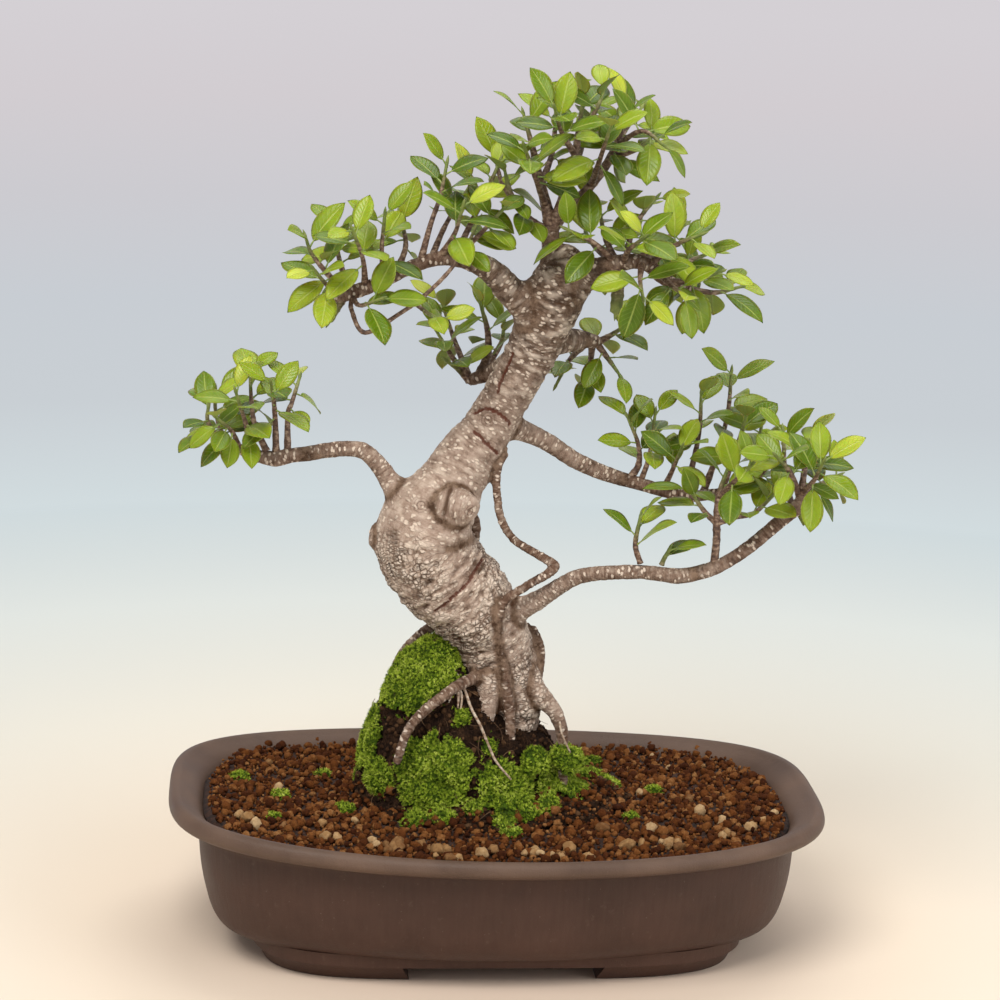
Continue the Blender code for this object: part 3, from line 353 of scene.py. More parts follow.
floor = floor_disc()
floor_paint = Paint("floor_ground", Roughness=0.9, Specular_IOR_Level=0.0, Emission_Strength=1.0)
floor_paint.shades(
    floor_paint.read("share"),
    (0.05, (0.76, 0.6, 0.48)), (0.13, (0.78, 0.66, 0.53)), (0.23, (0.75, 0.71, 0.62)),
    (0.42, (0.0, 0.0, 0.0)),
)
glow = floor_paint.ramp(
    floor_paint.read("share"),
    (0.23, (0.0, 0.0, 0.0)), (0.33, (0.38, 0.43, 0.44)), (0.424, (0.645, 0.716, 0.737)),
    (0.518, (0.584, 0.624, 0.658)), (0.609, (0.578, 0.61, 0.651)), (0.699, (0.604, 0.597, 0.631)),
    (0.787, (0.645, 0.61, 0.638)), (0.86, (0.66, 0.63, 0.66)),
)
floor_paint.tree.links.new(glow, floor_paint.shader.inputs["Emission Color"])
floor.data.materials.append(floor_paint.material)


# Place and height of the aim in metres, width, power in watts and colour
LIGHTS = {
    "key": ((-0.65, -1.2, 1.75), 0.2, 1.2, 34.0, (1.0, 0.98, 0.94)),
    "fill": ((1.3, -1.0, 0.9), 0.22, 1.2, 12.0, (0.95, 0.98, 1.0)),
    "top": ((0.3, 0.6, 2.1), 0.2, 1.6, 17.0, (1.0, 1.0, 1.0)),
}
WORLD_COLOUR, WORLD_STRENGTH = (0.97, 0.98, 1.0, 1.0), 0.4


def soft_light(name, place, aim, size, power, colour):
    """A round soft light that looks at a point above the pot's middle"""
    lamp = bpy.data.lights.new(name, "AREA")
    lamp.shape = "DISK"
    lamp.size, lamp.energy, lamp.color = size, power, colour
    item = new_object(name, lamp)
    item.location = place
    item.rotation_euler = (Vector((0, 0, aim)) - Vector(place)).to_track_quat("-Z", "Y").to_euler()


for name, settings in LIGHTS.items():
    soft_light(name, *settings)
world = bpy.data.worlds.new("studio")
bpy.context.scene.world = world
world.use_nodes = True
background = world.node_tree.nodes["Background"].inputs
background["Color"].default_value = WORLD_COLOUR
background["Strength"].default_value = WORLD_STRENGTH
bpy.context.scene.view_settings.view_transform = "Standard"
print("floor and three soft lights")

# %% [markdown]
# ## The pot
# The pot is unglazed brown stoneware, pressed in a mould and fired. Its plan is an oblong with
# round ends and flattened sides, its wall leans out, and its rim rolls outwards. In the kiln the
# long rim warped, so it rises at both ends. A potter's profile like this is best made as a loft:
# one ring of points for each level of the profile, joined ring by ring. The foot is a ring of its
# own, opened by a wedge on each side, and two drain holes go through the floor.

# %%
RIM_LENGTH, RIM_HEIGHT = 175.0, 78.0
RIM_PLAN, FOOT_PLAN = (2.0, 3.5), (4.0, 4.3)
END_LIFT, RIM_TILT, WARP_START = 5.0, 0.0134, 24.0
FLOOR_UNDERSIDE, FLOOR_TOP, FOOT_HEIGHT = 14.5, 21.0, 9.0
DRAIN_HOLE_X, DRAIN_HOLE_RADIUS = 70.0, 11.0
# Middle, half width and direction of each opening in the foot ring
FOOT_NOTCHES = [(-130, 52, "y"), (60, 52, "y"), (-170, 34, "x"), (100, 34, "x")]
NOTCH_LENGTH, NOTCH_SLANT, NOTCH_SPARE = 70, 4.0, 0.8
POT_SIDES, HOLE_SIDES, HOLE_SPARE = 180, 48, 8
ROUTE_STEPS = 5  # rings between two points of the wall's profile
SHARP_FROM = math.radians(32)
WALL_PROFILE = [
    (140, 88, FLOOR_UNDERSIDE), (147, 92, 15.5), (151.5, 99.5, 21), (155, 103.5, 30),
    (158.3, 105.8, 45), (160, 107.5, 66), (162, 109, 68), (171, 118, 68.8), (175, 122, 72),
    (174.2, 121.2, 76.4), (171, 118, 78), (167, 114.2, 76.6), (158.5, 106.6, 70.5),
    (147.5, 97.5, 52), (141, 93, 34), (127, 80, FLOOR_TOP),
]
FOOT_PROFILE = [
    (112, 64, 0), (112.6, 64.6, 0), (125.2, 77.2, 0), (126, 78, 0.5), (129.5, 84.5, FOOT_HEIGHT),
    (131.5, 87.5, FOOT_HEIGHT + 1), (132, 88.5, 17), (112, 64, 17),
]


def outline(half_length, half_depth, sides=POT_SIDES, plan=RIM_PLAN):
    """The pot's plan, a rounded oblong"""
    ends, flanks = plan
    points = []
    for step in range(sides):
        angle = 2 * math.pi * step / sides
        along, across = abs(math.cos(angle)), abs(math.sin(angle))
        reach = 1.0
        for _ in range(30):
            value = (reach * along) ** ends + (reach * across) ** flanks - 1
            slope = ends * (reach * along) ** ends + flanks * (reach * across) ** flanks
            reach -= value * reach / slope
        points.append((half_length * reach * math.cos(angle), half_depth * reach * math.sin(angle)))
    return points


def fired(x, y, z):
    """Where firing left a point: the rim rises at both ends and leans a little to one side"""
    warp = END_LIFT * (x / RIM_LENGTH) ** 2 - RIM_TILT * x
    return x, y, z + warp * max(0.0, (z - WARP_START) / (RIM_HEIGHT - WARP_START))


def pot_ring(half_length, half_depth, z, plan=RIM_PLAN):
    """One ring of the pot at a height"""
    return [fired(x, y, z) for x, y in outline(half_length, half_depth, POT_SIDES, plan)]


def foot_notch(middle, half_width, direction):
    """A wedge that opens the foot ring on one side, with slanted ends"""
    corners = []
    for z, half in ((-2.0, half_width - NOTCH_SLANT), (FOOT_HEIGHT, half_width + NOTCH_SPARE)):
        for along, out in ((-half, 0), (half, 0), (half, NOTCH_LENGTH), (-half, NOTCH_LENGTH)):
            x, y = (along, middle + out) if direction == "y" else (middle + out, along)
            corners.append((x, y, z))
    faces = [(3, 2, 1, 0), (4, 5, 6, 7), (0, 1, 5, 4), (1, 2, 6, 5), (2, 3, 7, 6), (3, 0, 4, 7)]
    return face_outwards(mesh_object("foot_notch", corners, faces))


def drain_hole(x):
    """A round plug that cuts one hole through the pot's floor"""
    angles = [2 * math.pi * step / HOLE_SIDES for step in range(HOLE_SIDES)]
    ring = [(math.cos(a) * DRAIN_HOLE_RADIUS, math.sin(a) * DRAIN_HOLE_RADIUS) for a in angles]
    levels = (FLOOR_UNDERSIDE - HOLE_SPARE, FLOOR_TOP + HOLE_SPARE)
    return rings_mesh("drain_hole", [[(x + a, b, z) for a, b in ring] for z in levels])


wall_rings = [pot_ring(*level) for level in smooth_route(WALL_PROFILE, ROUTE_STEPS)]
pot = rings_mesh("stoneware_pot", wall_rings)
foot = rings_mesh("foot", [pot_ring(*level, FOOT_PLAN) for level in FOOT_PROFILE], closed_loop=True)
combine(foot, "DIFFERENCE", [foot_notch(*notch) for notch in FOOT_NOTCHES])
combine(pot, "UNION", [foot])
combine(pot, "DIFFERENCE", [drain_hole(-DRAIN_HOLE_X), drain_hole(DRAIN_HOLE_X)])
pot.data.shade_smooth()
pot.data.set_sharp_from_angle(angle=SHARP_FROM)
print("pot of", len(pot.data.polygons), "faces")

# %% [markdown]
# ## Stoneware finish
# Bare stoneware is matte and a little mottled. The wall was brushed upwards while it was wet,
# which left faint upright streaks, and fine grit shows as pale specks. The rim is painted lighter
# than the wall, as painted light on its lip. All of it follows from where a point lies, so we mix
# noise of three sizes and lighten the clay by height for that painted light.

# %%
clay = Paint("stoneware", Roughness=0.6, Specular_IOR_Level=0.3)
mottle = clay.noise(34.0, detail=4.0)
streaks = clay.noise((2.2, 2.2, 60.0), detail=3.0)
grain = clay.noise(0.7, detail=2.0)
specks = clay.ramp(clay.cells(2.6), (0.0, 1.0), (0.09, 0.0))
speck_choice = clay.ramp(clay.noise(3.1, detail=0.0), (0.58, 0.0), (0.62, 1.0))
wall_clay = clay.ramp(mottle, (0.3, (0.046, 0.021, 0.014)), (0.7, (0.07, 0.034, 0.023)))
# Lighter clay on the rim, chosen by height: painted light on the lip.
lit_rim_clay = clay.ramp(mottle, (0.3, (0.082, 0.047, 0.031)), (0.7, (0.135, 0.082, 0.056)))
rim_light_share = clay.ramp(clay.height(100.0), (0.655, 0.0), (0.72, 1.0))
body = clay.mix(rim_light_share, wall_clay, lit_rim_clay)
body = clay.mix(clay.ramp(streaks, (0.35, 0.0), (0.7, 0.12)), body, (0.11, 0.066, 0.048))
worn = clay.ramp(clay.noise(5.0, detail=6.0, rough=0.7), (0.6, 0.0), (0.74, 0.35))
body = clay.mix(worn, body, (0.13, 0.085, 0.066))
body = clay.mix(clay.times(specks, speck_choice), body, (0.3, 0.24, 0.19))
clay.colour(body)
clay.roughness(clay.ramp(mottle, (0.3, 0.42), (0.7, 0.62)))
clay.bump(clay.plus(grain, clay.times(streaks, 0.8)), 0.22)
declare(pot, clay, "stoneware", "pot")

# %% [markdown]
# ## Drain meshes
# Under the soil a small plastic grid lies over each drain hole and keeps the granules in. Nobody
# sees it unless the pot is emptied, so the solid model's own two grids are kept, and only their
# black plastic is set here.

# %%
grid_plastic = Paint("black_plastic", Roughness=0.5)
grid_plastic.shades(grid_plastic.noise(2.0), (0.3, 0.012), (0.7, 0.022))
for name in ("drain_mesh_left", "drain_mesh_right"):
    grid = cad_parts[name]
    grid.data.materials.clear()
    grid.data.materials.append(grid_plastic.material)
print("two drain meshes painted")

# %% [markdown]
# ## Soil bed
# The pot is filled with akadama, a clay that is baked and broken to granules of four to six
# millimetres. What one sees is thousands of loose crumbs, but underneath they may be one dark
# bed, because no light reaches the gaps. So the bed is a lofted surface from the mound's edge to
# the pot's wall, and the crumbs of the next step lie half sunk in it.

# %%
GAP = 0.3
SOIL_LEVEL, BED_BOTTOM = 72.0, 22.8
MOUND_X, MOUND_Y, MOUND_HALF_LENGTH, MOUND_HALF_DEPTH = -2.0, 5.0, 76.0, 62.0
BED_SIDES, BED_STEPS = 140, 22
BED_SUNK = 0.8  # how far the bed lies below the tops of its granules
BED_RIM = (157.0, 105.3, 69.4)
BED_WALL = [(146.5, 96.5, 52.3), (140.2, 92.1, 34.3), (127.3, 80.3, BED_BOTTOM)]
CENTRE_RISE, LUMP_SIZE, LUMP_RISE = 3.5, 11.0, 1.3


def soil_height(x, y):
    """The bed is highest at the mound and settles towards the rim"""
    outward = math.hypot(x / 158, y / 107)
    spot = Vector((x / LUMP_SIZE, y / LUMP_SIZE, 0.37))
    distances = noise.voronoi(spot, distance_metric="DISTANCE")[0]
    rise = CENTRE_RISE * max(0.0, 1 - outward)
    return SOIL_LEVEL + rise + LUMP_RISE * (1.0 - 1.6 * distances[0])


def mound_edge(scale, sides):
    """Plan of the mound and of the hole it fills, with an uneven edge"""
    points = []
    for step in range(sides):
        angle = 2 * math.pi * step / sides
        wave = 1 + 0.03 * math.sin(3 * angle + 1.0) + 0.02 * math.sin(7 * angle)
        points.append((
            MOUND_X + (MOUND_HALF_LENGTH * wave + scale) * math.cos(angle),
            MOUND_Y + (MOUND_HALF_DEPTH * wave + scale) * math.sin(angle),
        ))
    return points


def bed_ring(half_length, half_depth, z):
    """One ring of the bed, lifted with the pot's ends"""
    return [fired(x, y, z) for x, y in outline(half_length, half_depth, BED_SIDES)]


bed_inner, bed_rim = mound_edge(GAP, BED_SIDES), bed_ring(*BED_RIM)
bed_rings = [[fired(x, y, BED_BOTTOM) for x, y in bed_inner]]
for step in range(BED_STEPS):
    share = step / BED_STEPS
    ring = []
    for near, far in zip(bed_inner, bed_rim):
        x = near[0] * (1 - share) + far[0] * share
        y = near[1] * (1 - share) + far[1] * share
        ring.append(fired(x, y, soil_height(x, y) - BED_SUNK))
    bed_rings.append(ring)
bed_rings += [bed_rim, *(bed_ring(*level) for level in BED_WALL)]
bed = rings_mesh("soil_bed", bed_rings, closed_loop=True)

# The bed's dark colour is painted shade of the gaps between the granules.
gap_shade = Paint("soil_gap_shade", Roughness=0.95)
gap_shade.shades(
    gap_shade.noise(3.0, detail=6.0), (0.35, (0.012, 0.006, 0.004)), (0.65, (0.055, 0.02, 0.01)),
)
gap_shade.bump(gap_shade.noise(1.6, detail=5.0), 0.9)
declare(bed, gap_shade, "granules", "soil")

# %% [markdown]
# ## Peat mound
# The roots sit on a hill of dark peat that rises out of the soil. It is steep at the front and on
# the left, where it leans against the trunk, and low and wide below that. Three rounded bumps
# give its form. A steep slope has too few points in a mesh that is made from above, so we let a
# voxel remesh spread them evenly, and then push lumps, crumbs and a few deep pits along the
# normals.

# %%
MOUND_SIDES, MOUND_STEPS, PEAT_VOXEL, PEAT_SMOOTHING = 150, 44, 1.7, 2
RELIEF_FROM, RELIEF_FULL = 26.8, 46.8  # heights between which the relief sets in
BALL_LEVEL, BALL_TAPER, MOUND_LEAN = 42.0, (0.55, 0.62), 8.0
# Middle in plan, half length, half depth, height, steepness
MOUND_BUMPS = [
    (MOUND_X, MOUND_Y, MOUND_HALF_LENGTH + 3, MOUND_HALF_DEPTH + 3, 14, 4.0),
    (-20, 6, 56, 46, 31, 9.0),
    (-31, 0, 40, 37, 48, 1.4),
]


def bump(x, y, middle_x, middle_y, half_length, half_depth, height, steepness):
    """Height that one rounded bump adds at a place"""
    far = math.hypot((x - middle_x) / half_length, (y - middle_y) / half_depth)
    return height * max(0.0, 1 - far ** steepness)


def mound_height(x, y):
    """Height of the peat before firing lifts the pot's ends"""
    lumps = 2.2 * noise.noise(Vector((x / 13, y / 13, 1.7)))
    return SOIL_LEVEL + lumps + sum(bump(x, y, *shape) for shape in MOUND_BUMPS)


def ground(x, y):
    """A point of the mound's plain surface"""
    return Vector(fired(x, y, mound_height(x, y)))


def new_skin(piece, size, smooth_steps):
    """Lays one even skin over a piece, whatever shapes it was joined from"""
    skin = piece.modifiers.new("skin", "REMESH")
    skin.mode = "VOXEL"
    skin.voxel_size = size * MM
    soften = piece.modifiers.new("soften", "SMOOTH")
    soften.factor = 0.5
    soften.iterations = smooth_steps
    bake_modifiers(piece)
    piece.data.shade_smooth()


def spots_of(piece, field="co"):
    """Places of a piece's points in millimetres, or their normals"""
    values = np.empty(len(piece.data.vertices) * 3)
    piece.data.vertices.foreach_get(field, values)
    values = values.reshape(-1, 3)
    return values / MM - (ORIGIN_SHIFT, 0, 0) if field == "co" else values


def push_out(piece, distances):
    """Moves each point of a piece along its normal"""
    moved = spots_of(piece) + spots_of(piece, "normal") * np.asarray(distances)[:, None]
    piece.data.vertices.foreach_set("co", ((moved + (ORIGIN_SHIFT, 0, 0)) * MM).ravel())
    piece.data.update()


def peat_relief(spot):
    """Lumps and crumbs, and pits where a lump fell out"""
    pits = max(0.0, noise.noise(spot / 8 + Vector((4.1, 0, 0))) - 0.2)
    return 1.9 * noise.noise(spot / 6.5) + 1.0 * noise.noise(spot / 2.3) - 8.0 * pits


narrow, shallow = BALL_TAPER
edge = mound_edge(0, MOUND_SIDES)
mound_rings = [
    [fired(x * narrow, y * shallow, BED_BOTTOM) for x, y in edge],
    [fired(x, y, BALL_LEVEL) for x, y in edge],
]
for step in range(MOUND_STEPS):
    share = 1 - step / MOUND_STEPS
    ring = []
    for x, y in edge:
        across = MOUND_X - MOUND_LEAN * (1 - share) + (x - MOUND_X) * share
        deep = MOUND_Y + (y - MOUND_Y) * share
        ring.append(ground(across, deep))
    mound_rings.append(ring)
mound = rings_mesh("peat_mound", mound_rings)
new_skin(mound, PEAT_VOXEL, PEAT_SMOOTHING)
reliefs = []
for spot in spots_of(mound):
    share = limited((spot[2] - RELIEF_FROM) / (RELIEF_FULL - RELIEF_FROM))
    reliefs.append(peat_relief(Vector(spot)) * share)
push_out(mound, reliefs)

peat = Paint("peat", Roughness=1.0, Specular_IOR_Level=0.1)
fibres = peat.noise((0.6, 0.6, 5.0), detail=4.0, warp=1.5)
peat.shades(
    peat.mean(fibres, peat.noise(5.0, detail=6.0, rough=0.65)),
    (0.38, (0.006, 0.003, 0.002)), (0.5, (0.02, 0.01, 0.006)), (0.6, (0.052, 0.026, 0.013)),
    (0.72, (0.13, 0.072, 0.036)),
)
peat.bump(peat.plus(fibres, peat.noise(1.2, detail=4.0)), 0.9)
declare(mound, peat, "peat", "mound")

# %% [markdown]
# ## Granules
# Each granule is a broken crumb of baked clay, no two alike. We squash, turn and dent a small ball
# in two dozen ways and cut flats on it, as breaking does. Those shapes are scattered over a loose
# grid, each with its own size and turn, and smaller crumbs fill what is left between them. They
# also lie on the low apron of the mound. The random numbers are seeded, so the bed comes out the
# same every time. All crumbs of one kind are joined in one mesh.

# %%
CRUMB_SHAPES = 24
LARGE_SPACING, SMALL_SPACING = 5.1, 3.3
LARGE_SIZES, MIDDLE_SIZES, SMALL_SIZES = (1.7, 2.9), (1.1, 1.8), (0.5, 1.3)
LARGE_SHARE = 0.6
LARGE_LEVELS, SMALL_LEVELS = (-0.9, 1.5), (-0.5, 1.3)  # how far a crumb lies above the bed
LARGE_EDGE, SMALL_EDGE = (153.5, 102.0), (155.0, 103.4)
GRID_HALF_LENGTH, GRID_HALF_DEPTH, ROW_SPACING, LOOSENESS = 156.0, 104.0, 0.87, 0.4
APRON_TOP, APRON_BLUR = 17.0, 5  # granules lie on the mound up to this height above the soil
SCENE_SEED = 7
FLAT_DEPTHS, FLAT_SHARE = (0.5, 0.85), 0.85


def ball(detail):
    """Points and triangles of a small ball"""
    shaped = bmesh.new()
    bmesh.ops.create_icosphere(shaped, subdivisions=detail, radius=1.0)
    points = np.array([vertex.co[:] for vertex in shaped.verts])
    faces = np.array([[vertex.index for vertex in face.verts] for face in shaped.faces])
    shaped.free()
    return points, faces


def random_turn(rng):
    """A rotation matrix with no preferred direction"""
    turn, _ = np.linalg.qr(rng.normal(size=(3, 3)))
    return turn * np.sign(np.linalg.det(turn))


def lump_shapes(count, detail, roughness, flats, rng):
    """Dented balls with a few flats, as broken crumbs have"""
    points, _ = ball(detail)
    shapes = []
    for number in range(count):
        sideways, forwards = Vector((number * 7.0, 0, 0)), Vector((0, number * 5.0, 0))
        dents = np.array([noise.noise(Vector(point * 1.7) + sideways) for point in points])
        fine = np.array([noise.noise(Vector(point * 3.9) + forwards) for point in points])
        radius = 1 + roughness * (0.75 * dents + 0.45 * fine)
        shape = points * radius[:, None] * rng.uniform(0.8, 1.2, 3)
        for _ in range(flats):
            flat = unit(rng.normal(size=3))
            over = np.clip(shape @ flat - rng.uniform(*FLAT_DEPTHS), 0, None)
            shape = shape - FLAT_SHARE * over[:, None] * flat
        shapes.append(shape)
    return shapes


def scatter_lumps(name, spots, sizes, shapes, detail, rng):
    """One mesh of many lumps; each point of it keeps its lump's tone"""
    _, triangles = ball(detail)
    points, faces, shades = [], [], []
    for spot, size in zip(spots, sizes):
        shape = shapes[rng.integers(len(shapes))]
        faces.append(triangles + len(points) * len(shape))
        points.append(shape @ random_turn(rng).T * size + spot)
        shades.append(np.full(len(shape), rng.uniform(0, 1)))
    lumps = mesh_object(name, np.vstack(points), np.vstack(faces).tolist())
    store(lumps, "tone", np.concatenate(shades))
    return lumps


def inside(points, x, y):
    """Whether a spot lies inside an outline drawn round the origin"""
    angle = math.atan2(y, x) % (2 * math.pi)
    share = angle / (2 * math.pi) * len(points)
    near = points[int(share) % len(points)]
    return math.hypot(x, y) < math.hypot(*near)


def off_mound(x, y):
    """How far out a place lies, 1 at the mound's edge"""
    return math.hypot((x - MOUND_X) / MOUND_HALF_LENGTH, (y - MOUND_Y) / MOUND_HALF_DEPTH)


def loose_places(spacing, edge, rng):
    """A loose grid of places on the soil and on the mound's apron, with the height of the ground"""
    places = []
    for row, y in enumerate(np.arange(-GRID_HALF_DEPTH, GRID_HALF_DEPTH, spacing * ROW_SPACING)):
        for x in np.arange(-GRID_HALF_LENGTH + row % 2 * spacing / 2, GRID_HALF_LENGTH, spacing):
            spot_x = x + rng.uniform(-LOOSENESS, LOOSENESS) * spacing
            spot_y = y + rng.uniform(-LOOSENESS, LOOSENESS) * spacing
            if not inside(edge, spot_x, spot_y):
                continue
            level = soil_height(spot_x, spot_y)
            if off_mound(spot_x, spot_y) < 1:
                level = mound_height(spot_x, spot_y)
                if level - SOIL_LEVEL > APRON_TOP - rng.uniform(0, APRON_BLUR):
                    continue
            places.append((spot_x, spot_y, level))
    return places


rng = np.random.default_rng(SCENE_SEED)
large_spots, large_sizes, small_spots, small_sizes = [], [], [], []
for x, y, level in loose_places(LARGE_SPACING, outline(*LARGE_EDGE), rng):
    size = rng.uniform(*(LARGE_SIZES if rng.random() < LARGE_SHARE else MIDDLE_SIZES))
    large_spots.append(fired(x, y, level + rng.uniform(*LARGE_LEVELS)))
    large_sizes.append(size)
for x, y, level in loose_places(SMALL_SPACING, outline(*SMALL_EDGE), rng):
    small_spots.append(fired(x, y, level + rng.uniform(*SMALL_LEVELS)))
    small_sizes.append(rng.uniform(*SMALL_SIZES))
large_shapes = lump_shapes(CRUMB_SHAPES, 2, 0.6, 5, rng)
large = scatter_lumps("granules", large_spots, large_sizes, large_shapes, 2, rng)
small_shapes = lump_shapes(CRUMB_SHAPES, 1, 0.5, 2, rng)
small = scatter_lumps("small_granules", small_spots, small_sizes, small_shapes, 1, rng)

baked_clay = Paint("baked_clay", Roughness=1.0, Specular_IOR_Level=0.12)
baked_clay.shades(
    baked_clay.mean(baked_clay.read("tone"), baked_clay.noise(1.4, detail=5.0, rough=0.7)),
    (0.2, (0.026, 0.006, 0.002)), (0.38, (0.076, 0.022, 0.006)), (0.54, (0.132, 0.042, 0.01)),
    (0.68, (0.205, 0.078, 0.022)), (0.82, (0.33, 0.165, 0.062)),
)
baked_clay.bump(baked_clay.noise(0.9, detail=5.0, rough=0.7), 0.8)
declare(large, baked_clay, "granules")
declare(small, baked_clay, "granules")

# %% [markdown]
# ## Pumice pebbles
# A few dozen pale pebbles lie on top of the bed. We pick places at random, nearly two thirds of
# them in a strip along the front edge, and keep those that fall on the soil. They are made from
# finer balls than the granules, because they are larger and paler and so show more.

# %%
PEBBLES = 66
PEBBLE_SIZES, FRONT_SHARE, FRONT_STRIP = (1.5, 3.7), 0.62, (84, 101)
PEBBLE_EDGE = outline(150.5, 98.8, 90)

pebble_spots, pebble_sizes = [], []
while len(pebble_spots) < PEBBLES:
    x = rng.uniform(-140, 150)
    if rng.random() < FRONT_SHARE:
        y = -math.sqrt(max(0.0, 1 - (x / 158) ** 2)) * rng.uniform(*FRONT_STRIP)
    else:
        y = rng.uniform(-90, 92)
    if inside(PEBBLE_EDGE, x, y) and off_mound(x, y) > 1.05:
        size = rng.uniform(*PEBBLE_SIZES)
        pebble_spots.append(fired(x, y, soil_height(x, y) + size * 0.5))
        pebble_sizes.append(size)
pebble_shapes = lump_shapes(CRUMB_SHAPES, 3, 0.35, 4, rng)
pebbles = scatter_lumps("pebbles", pebble_spots, pebble_sizes, pebble_shapes, 3, rng)
pumice = Paint("pumice", Roughness=0.95, Specular_IOR_Level=0.2)
pumice.shades(
    pumice.mean(pumice.read("tone"), pumice.noise(2.0, detail=5.0, rough=0.65)),
    (0.25, (0.15, 0.065, 0.022)), (0.5, (0.3, 0.165, 0.066)), (0.75, (0.5, 0.34, 0.18)),
)
pumice.bump(pumice.noise(0.8, detail=5.0), 0.5)
declare(pebbles, pumice, "granules")

# %% [markdown]
# ## Crumbs, fibres and rootlets on the peat
# Peat is half soil and half old roots. Crumbs stick to it, brown fibres stand out of it, and fresh
# rootlets creep down its front. Crumbs come from the same ball as the granules. Fibres are thin
# tubes that start on the mound, run along it and bend back. We pick the places by the area of
# the mound's triangles, so that steep parts get their share.

# %%
CRUMBS_PER_AREA, FIBRES = 0.11, 220
CRUMB_SIZES = (0.5, 1.9)
FIBRE_LENGTHS, FIBRE_LIFTS, FIBRE_RADII = (4, 13), (0.5, 2.2), (0.14, 0.32)
FIBRE_ROOT = 0.6  # how deep a fibre's ends lie in the peat
ROOTLETS = [
    [(-30, -14, 156, 0.9), (-24, -17, 149, 0.9), (-19, -22, 140, 0.8), (-16, -25, 132, 0.8),
     (-11, -28, 123, 0.8), (-7, -31, 114, 0.7), (-3, -36, 106, 0.7), (5, -40, 97, 0.5)],
    [(-28, -12, 156, 1.2), (-25, -18, 148, 1.1), (-23, -24, 140, 0.9), (-23, -26, 132, 0.5)],
    [(-25, -18, 149, 1.0), (-26, -24, 141, 0.8), (-28, -26, 135, 0.5)],
    [(-24, -19, 146, 0.9), (-21, -24, 138, 0.7), (-22, -27, 129, 0.4)],
    [(-37, -12, 160, 0.7), (-36, -18, 151, 0.6), (-39, -22, 143, 0.4)],
    [(24, -8, 138, 0.9), (31, -13, 128, 0.8), (33, -20, 117, 0.6), (38, -21, 106, 0.5)],
    [(-4, 30, 136, 1.0), (2, 36, 124, 0.9), (-2, 43, 112, 0.7), (4, 48, 100, 0.5)],
]


def surface_spots(piece, per_area, rng):
    """Spots spread evenly over a piece's surface, with the normal at each"""
    mesh = piece.data
    mesh.calc_loop_triangles()
    index = np.empty(len(mesh.loop_triangles) * 3, np.int32)
    mesh.loop_triangles.foreach_get("vertices", index)
    corners = spots_of(piece)[index.reshape(-1, 3)]
    normals = np.cross(corners[:, 1] - corners[:, 0], corners[:, 2] - corners[:, 0])
    twice = np.maximum(norm(normals, axis=1), 1e-9)
    chosen = rng.choice(len(twice), int(twice.sum() / 2 * per_area), p=twice / twice.sum())
    weights = rng.dirichlet(np.ones(3), len(chosen))
    return (weights[:, :, None] * corners[chosen]).sum(axis=1), (normals / twice[:, None])[chosen]


def frames(route):
    """Centres, radii and two directions across a route, turned as little as possible"""
    centres = [np.array(point[:3], float) for point in route]
    across, found = None, []
    for k, centre in enumerate(centres):
        ahead = unit(centres[min(k + 1, len(centres) - 1)] - centres[max(k - 1, 0)])
        if across is None:
            across = np.cross(ahead, (0.31, 0.92, 0.22))
        across = unit(across - ahead * (across @ ahead))
        found.append((centre, route[k][3], ahead, across, np.cross(ahead, across)))
    return found


def tube_rings(route, sides):
    """Rings of points round a route, as wide as the radius that each of its points names"""
    angles = [2 * math.pi * step / sides for step in range(sides)]
    return [[centre + radius * (across * math.cos(a) + other * math.sin(a)) for a in angles]
            for centre, radius, _, across, other in frames(route)]


def joined_tubes(name, routes, sides):
    """One mesh of many tubes, with the distance from each tube's tip kept per point"""
    points, faces, tips = [], [], []
    for route in routes:
        start = len(points)
        total = len(route)
        for number, ring in enumerate(tube_rings(route, sides)):
            points += ring
            tips += [float(norm(route[-1][:3] - route[number][:3]))] * sides
        for band in range(total - 1):
            for step in range(sides):
                a, b = start + band * sides + step, start + band * sides + (step + 1) % sides
                faces.append((a, b, b + sides, a + sides))
        faces.append(tuple(reversed(range(start, start + sides))))
        faces.append(tuple(range(start + (total - 1) * sides, start + total * sides)))
    tubes = mesh_object(name, points, faces)
    store(tubes, "tip", tips)
    return tubes


def fibre_route(spot, out, rng):
    """A short strand that leaves the ground, runs along it and comes back"""
    run = unit(np.cross(out, rng.normal(size=3)))
    bend = np.cross(run, out) * rng.uniform(-0.5, 0.5)
    length, lift, radius = [rng.uniform(*span) for span in (FIBRE_LENGTHS, FIBRE_LIFTS, FIBRE_RADII)]
    route = []
    for t in (0.0, 0.3, 0.6, 1.0):
        height = lift * math.sin(math.pi * t) - FIBRE_ROOT
        place = spot + length * (run * t + bend * t * t) + out * height
        route.append((*place, radius * (1 - 0.5 * t)))
    return smooth_route(route, 3)


peat_spots, peat_normals = surface_spots(mound, CRUMBS_PER_AREA, rng)
bare = [level > fired(x, y, soil_height(x, y))[2] + 1 for x, y, level in peat_spots]
peat_spots, peat_normals = peat_spots[bare], peat_normals[bare]
peat_sizes = rng.uniform(*CRUMB_SIZES, len(peat_spots))
peat_shapes = lump_shapes(CRUMB_SHAPES, 1, 0.6, 2, rng)
peat_lumps = scatter_lumps("peat_crumbs", peat_spots, peat_sizes, peat_shapes, 1, rng)
loam = Paint("loam", Roughness=1.0, Specular_IOR_Level=0.1)
loam.shades(
    loam.mean(loam.read("tone"), loam.noise(1.5, detail=5.0)),
    (0.25, (0.01, 0.005, 0.003)), (0.55, (0.038, 0.018, 0.009)), (0.8, (0.12, 0.062, 0.03)),
)
loam.bump(loam.noise(0.8, detail=4.0), 0.6)
declare(peat_lumps, loam, "peat")

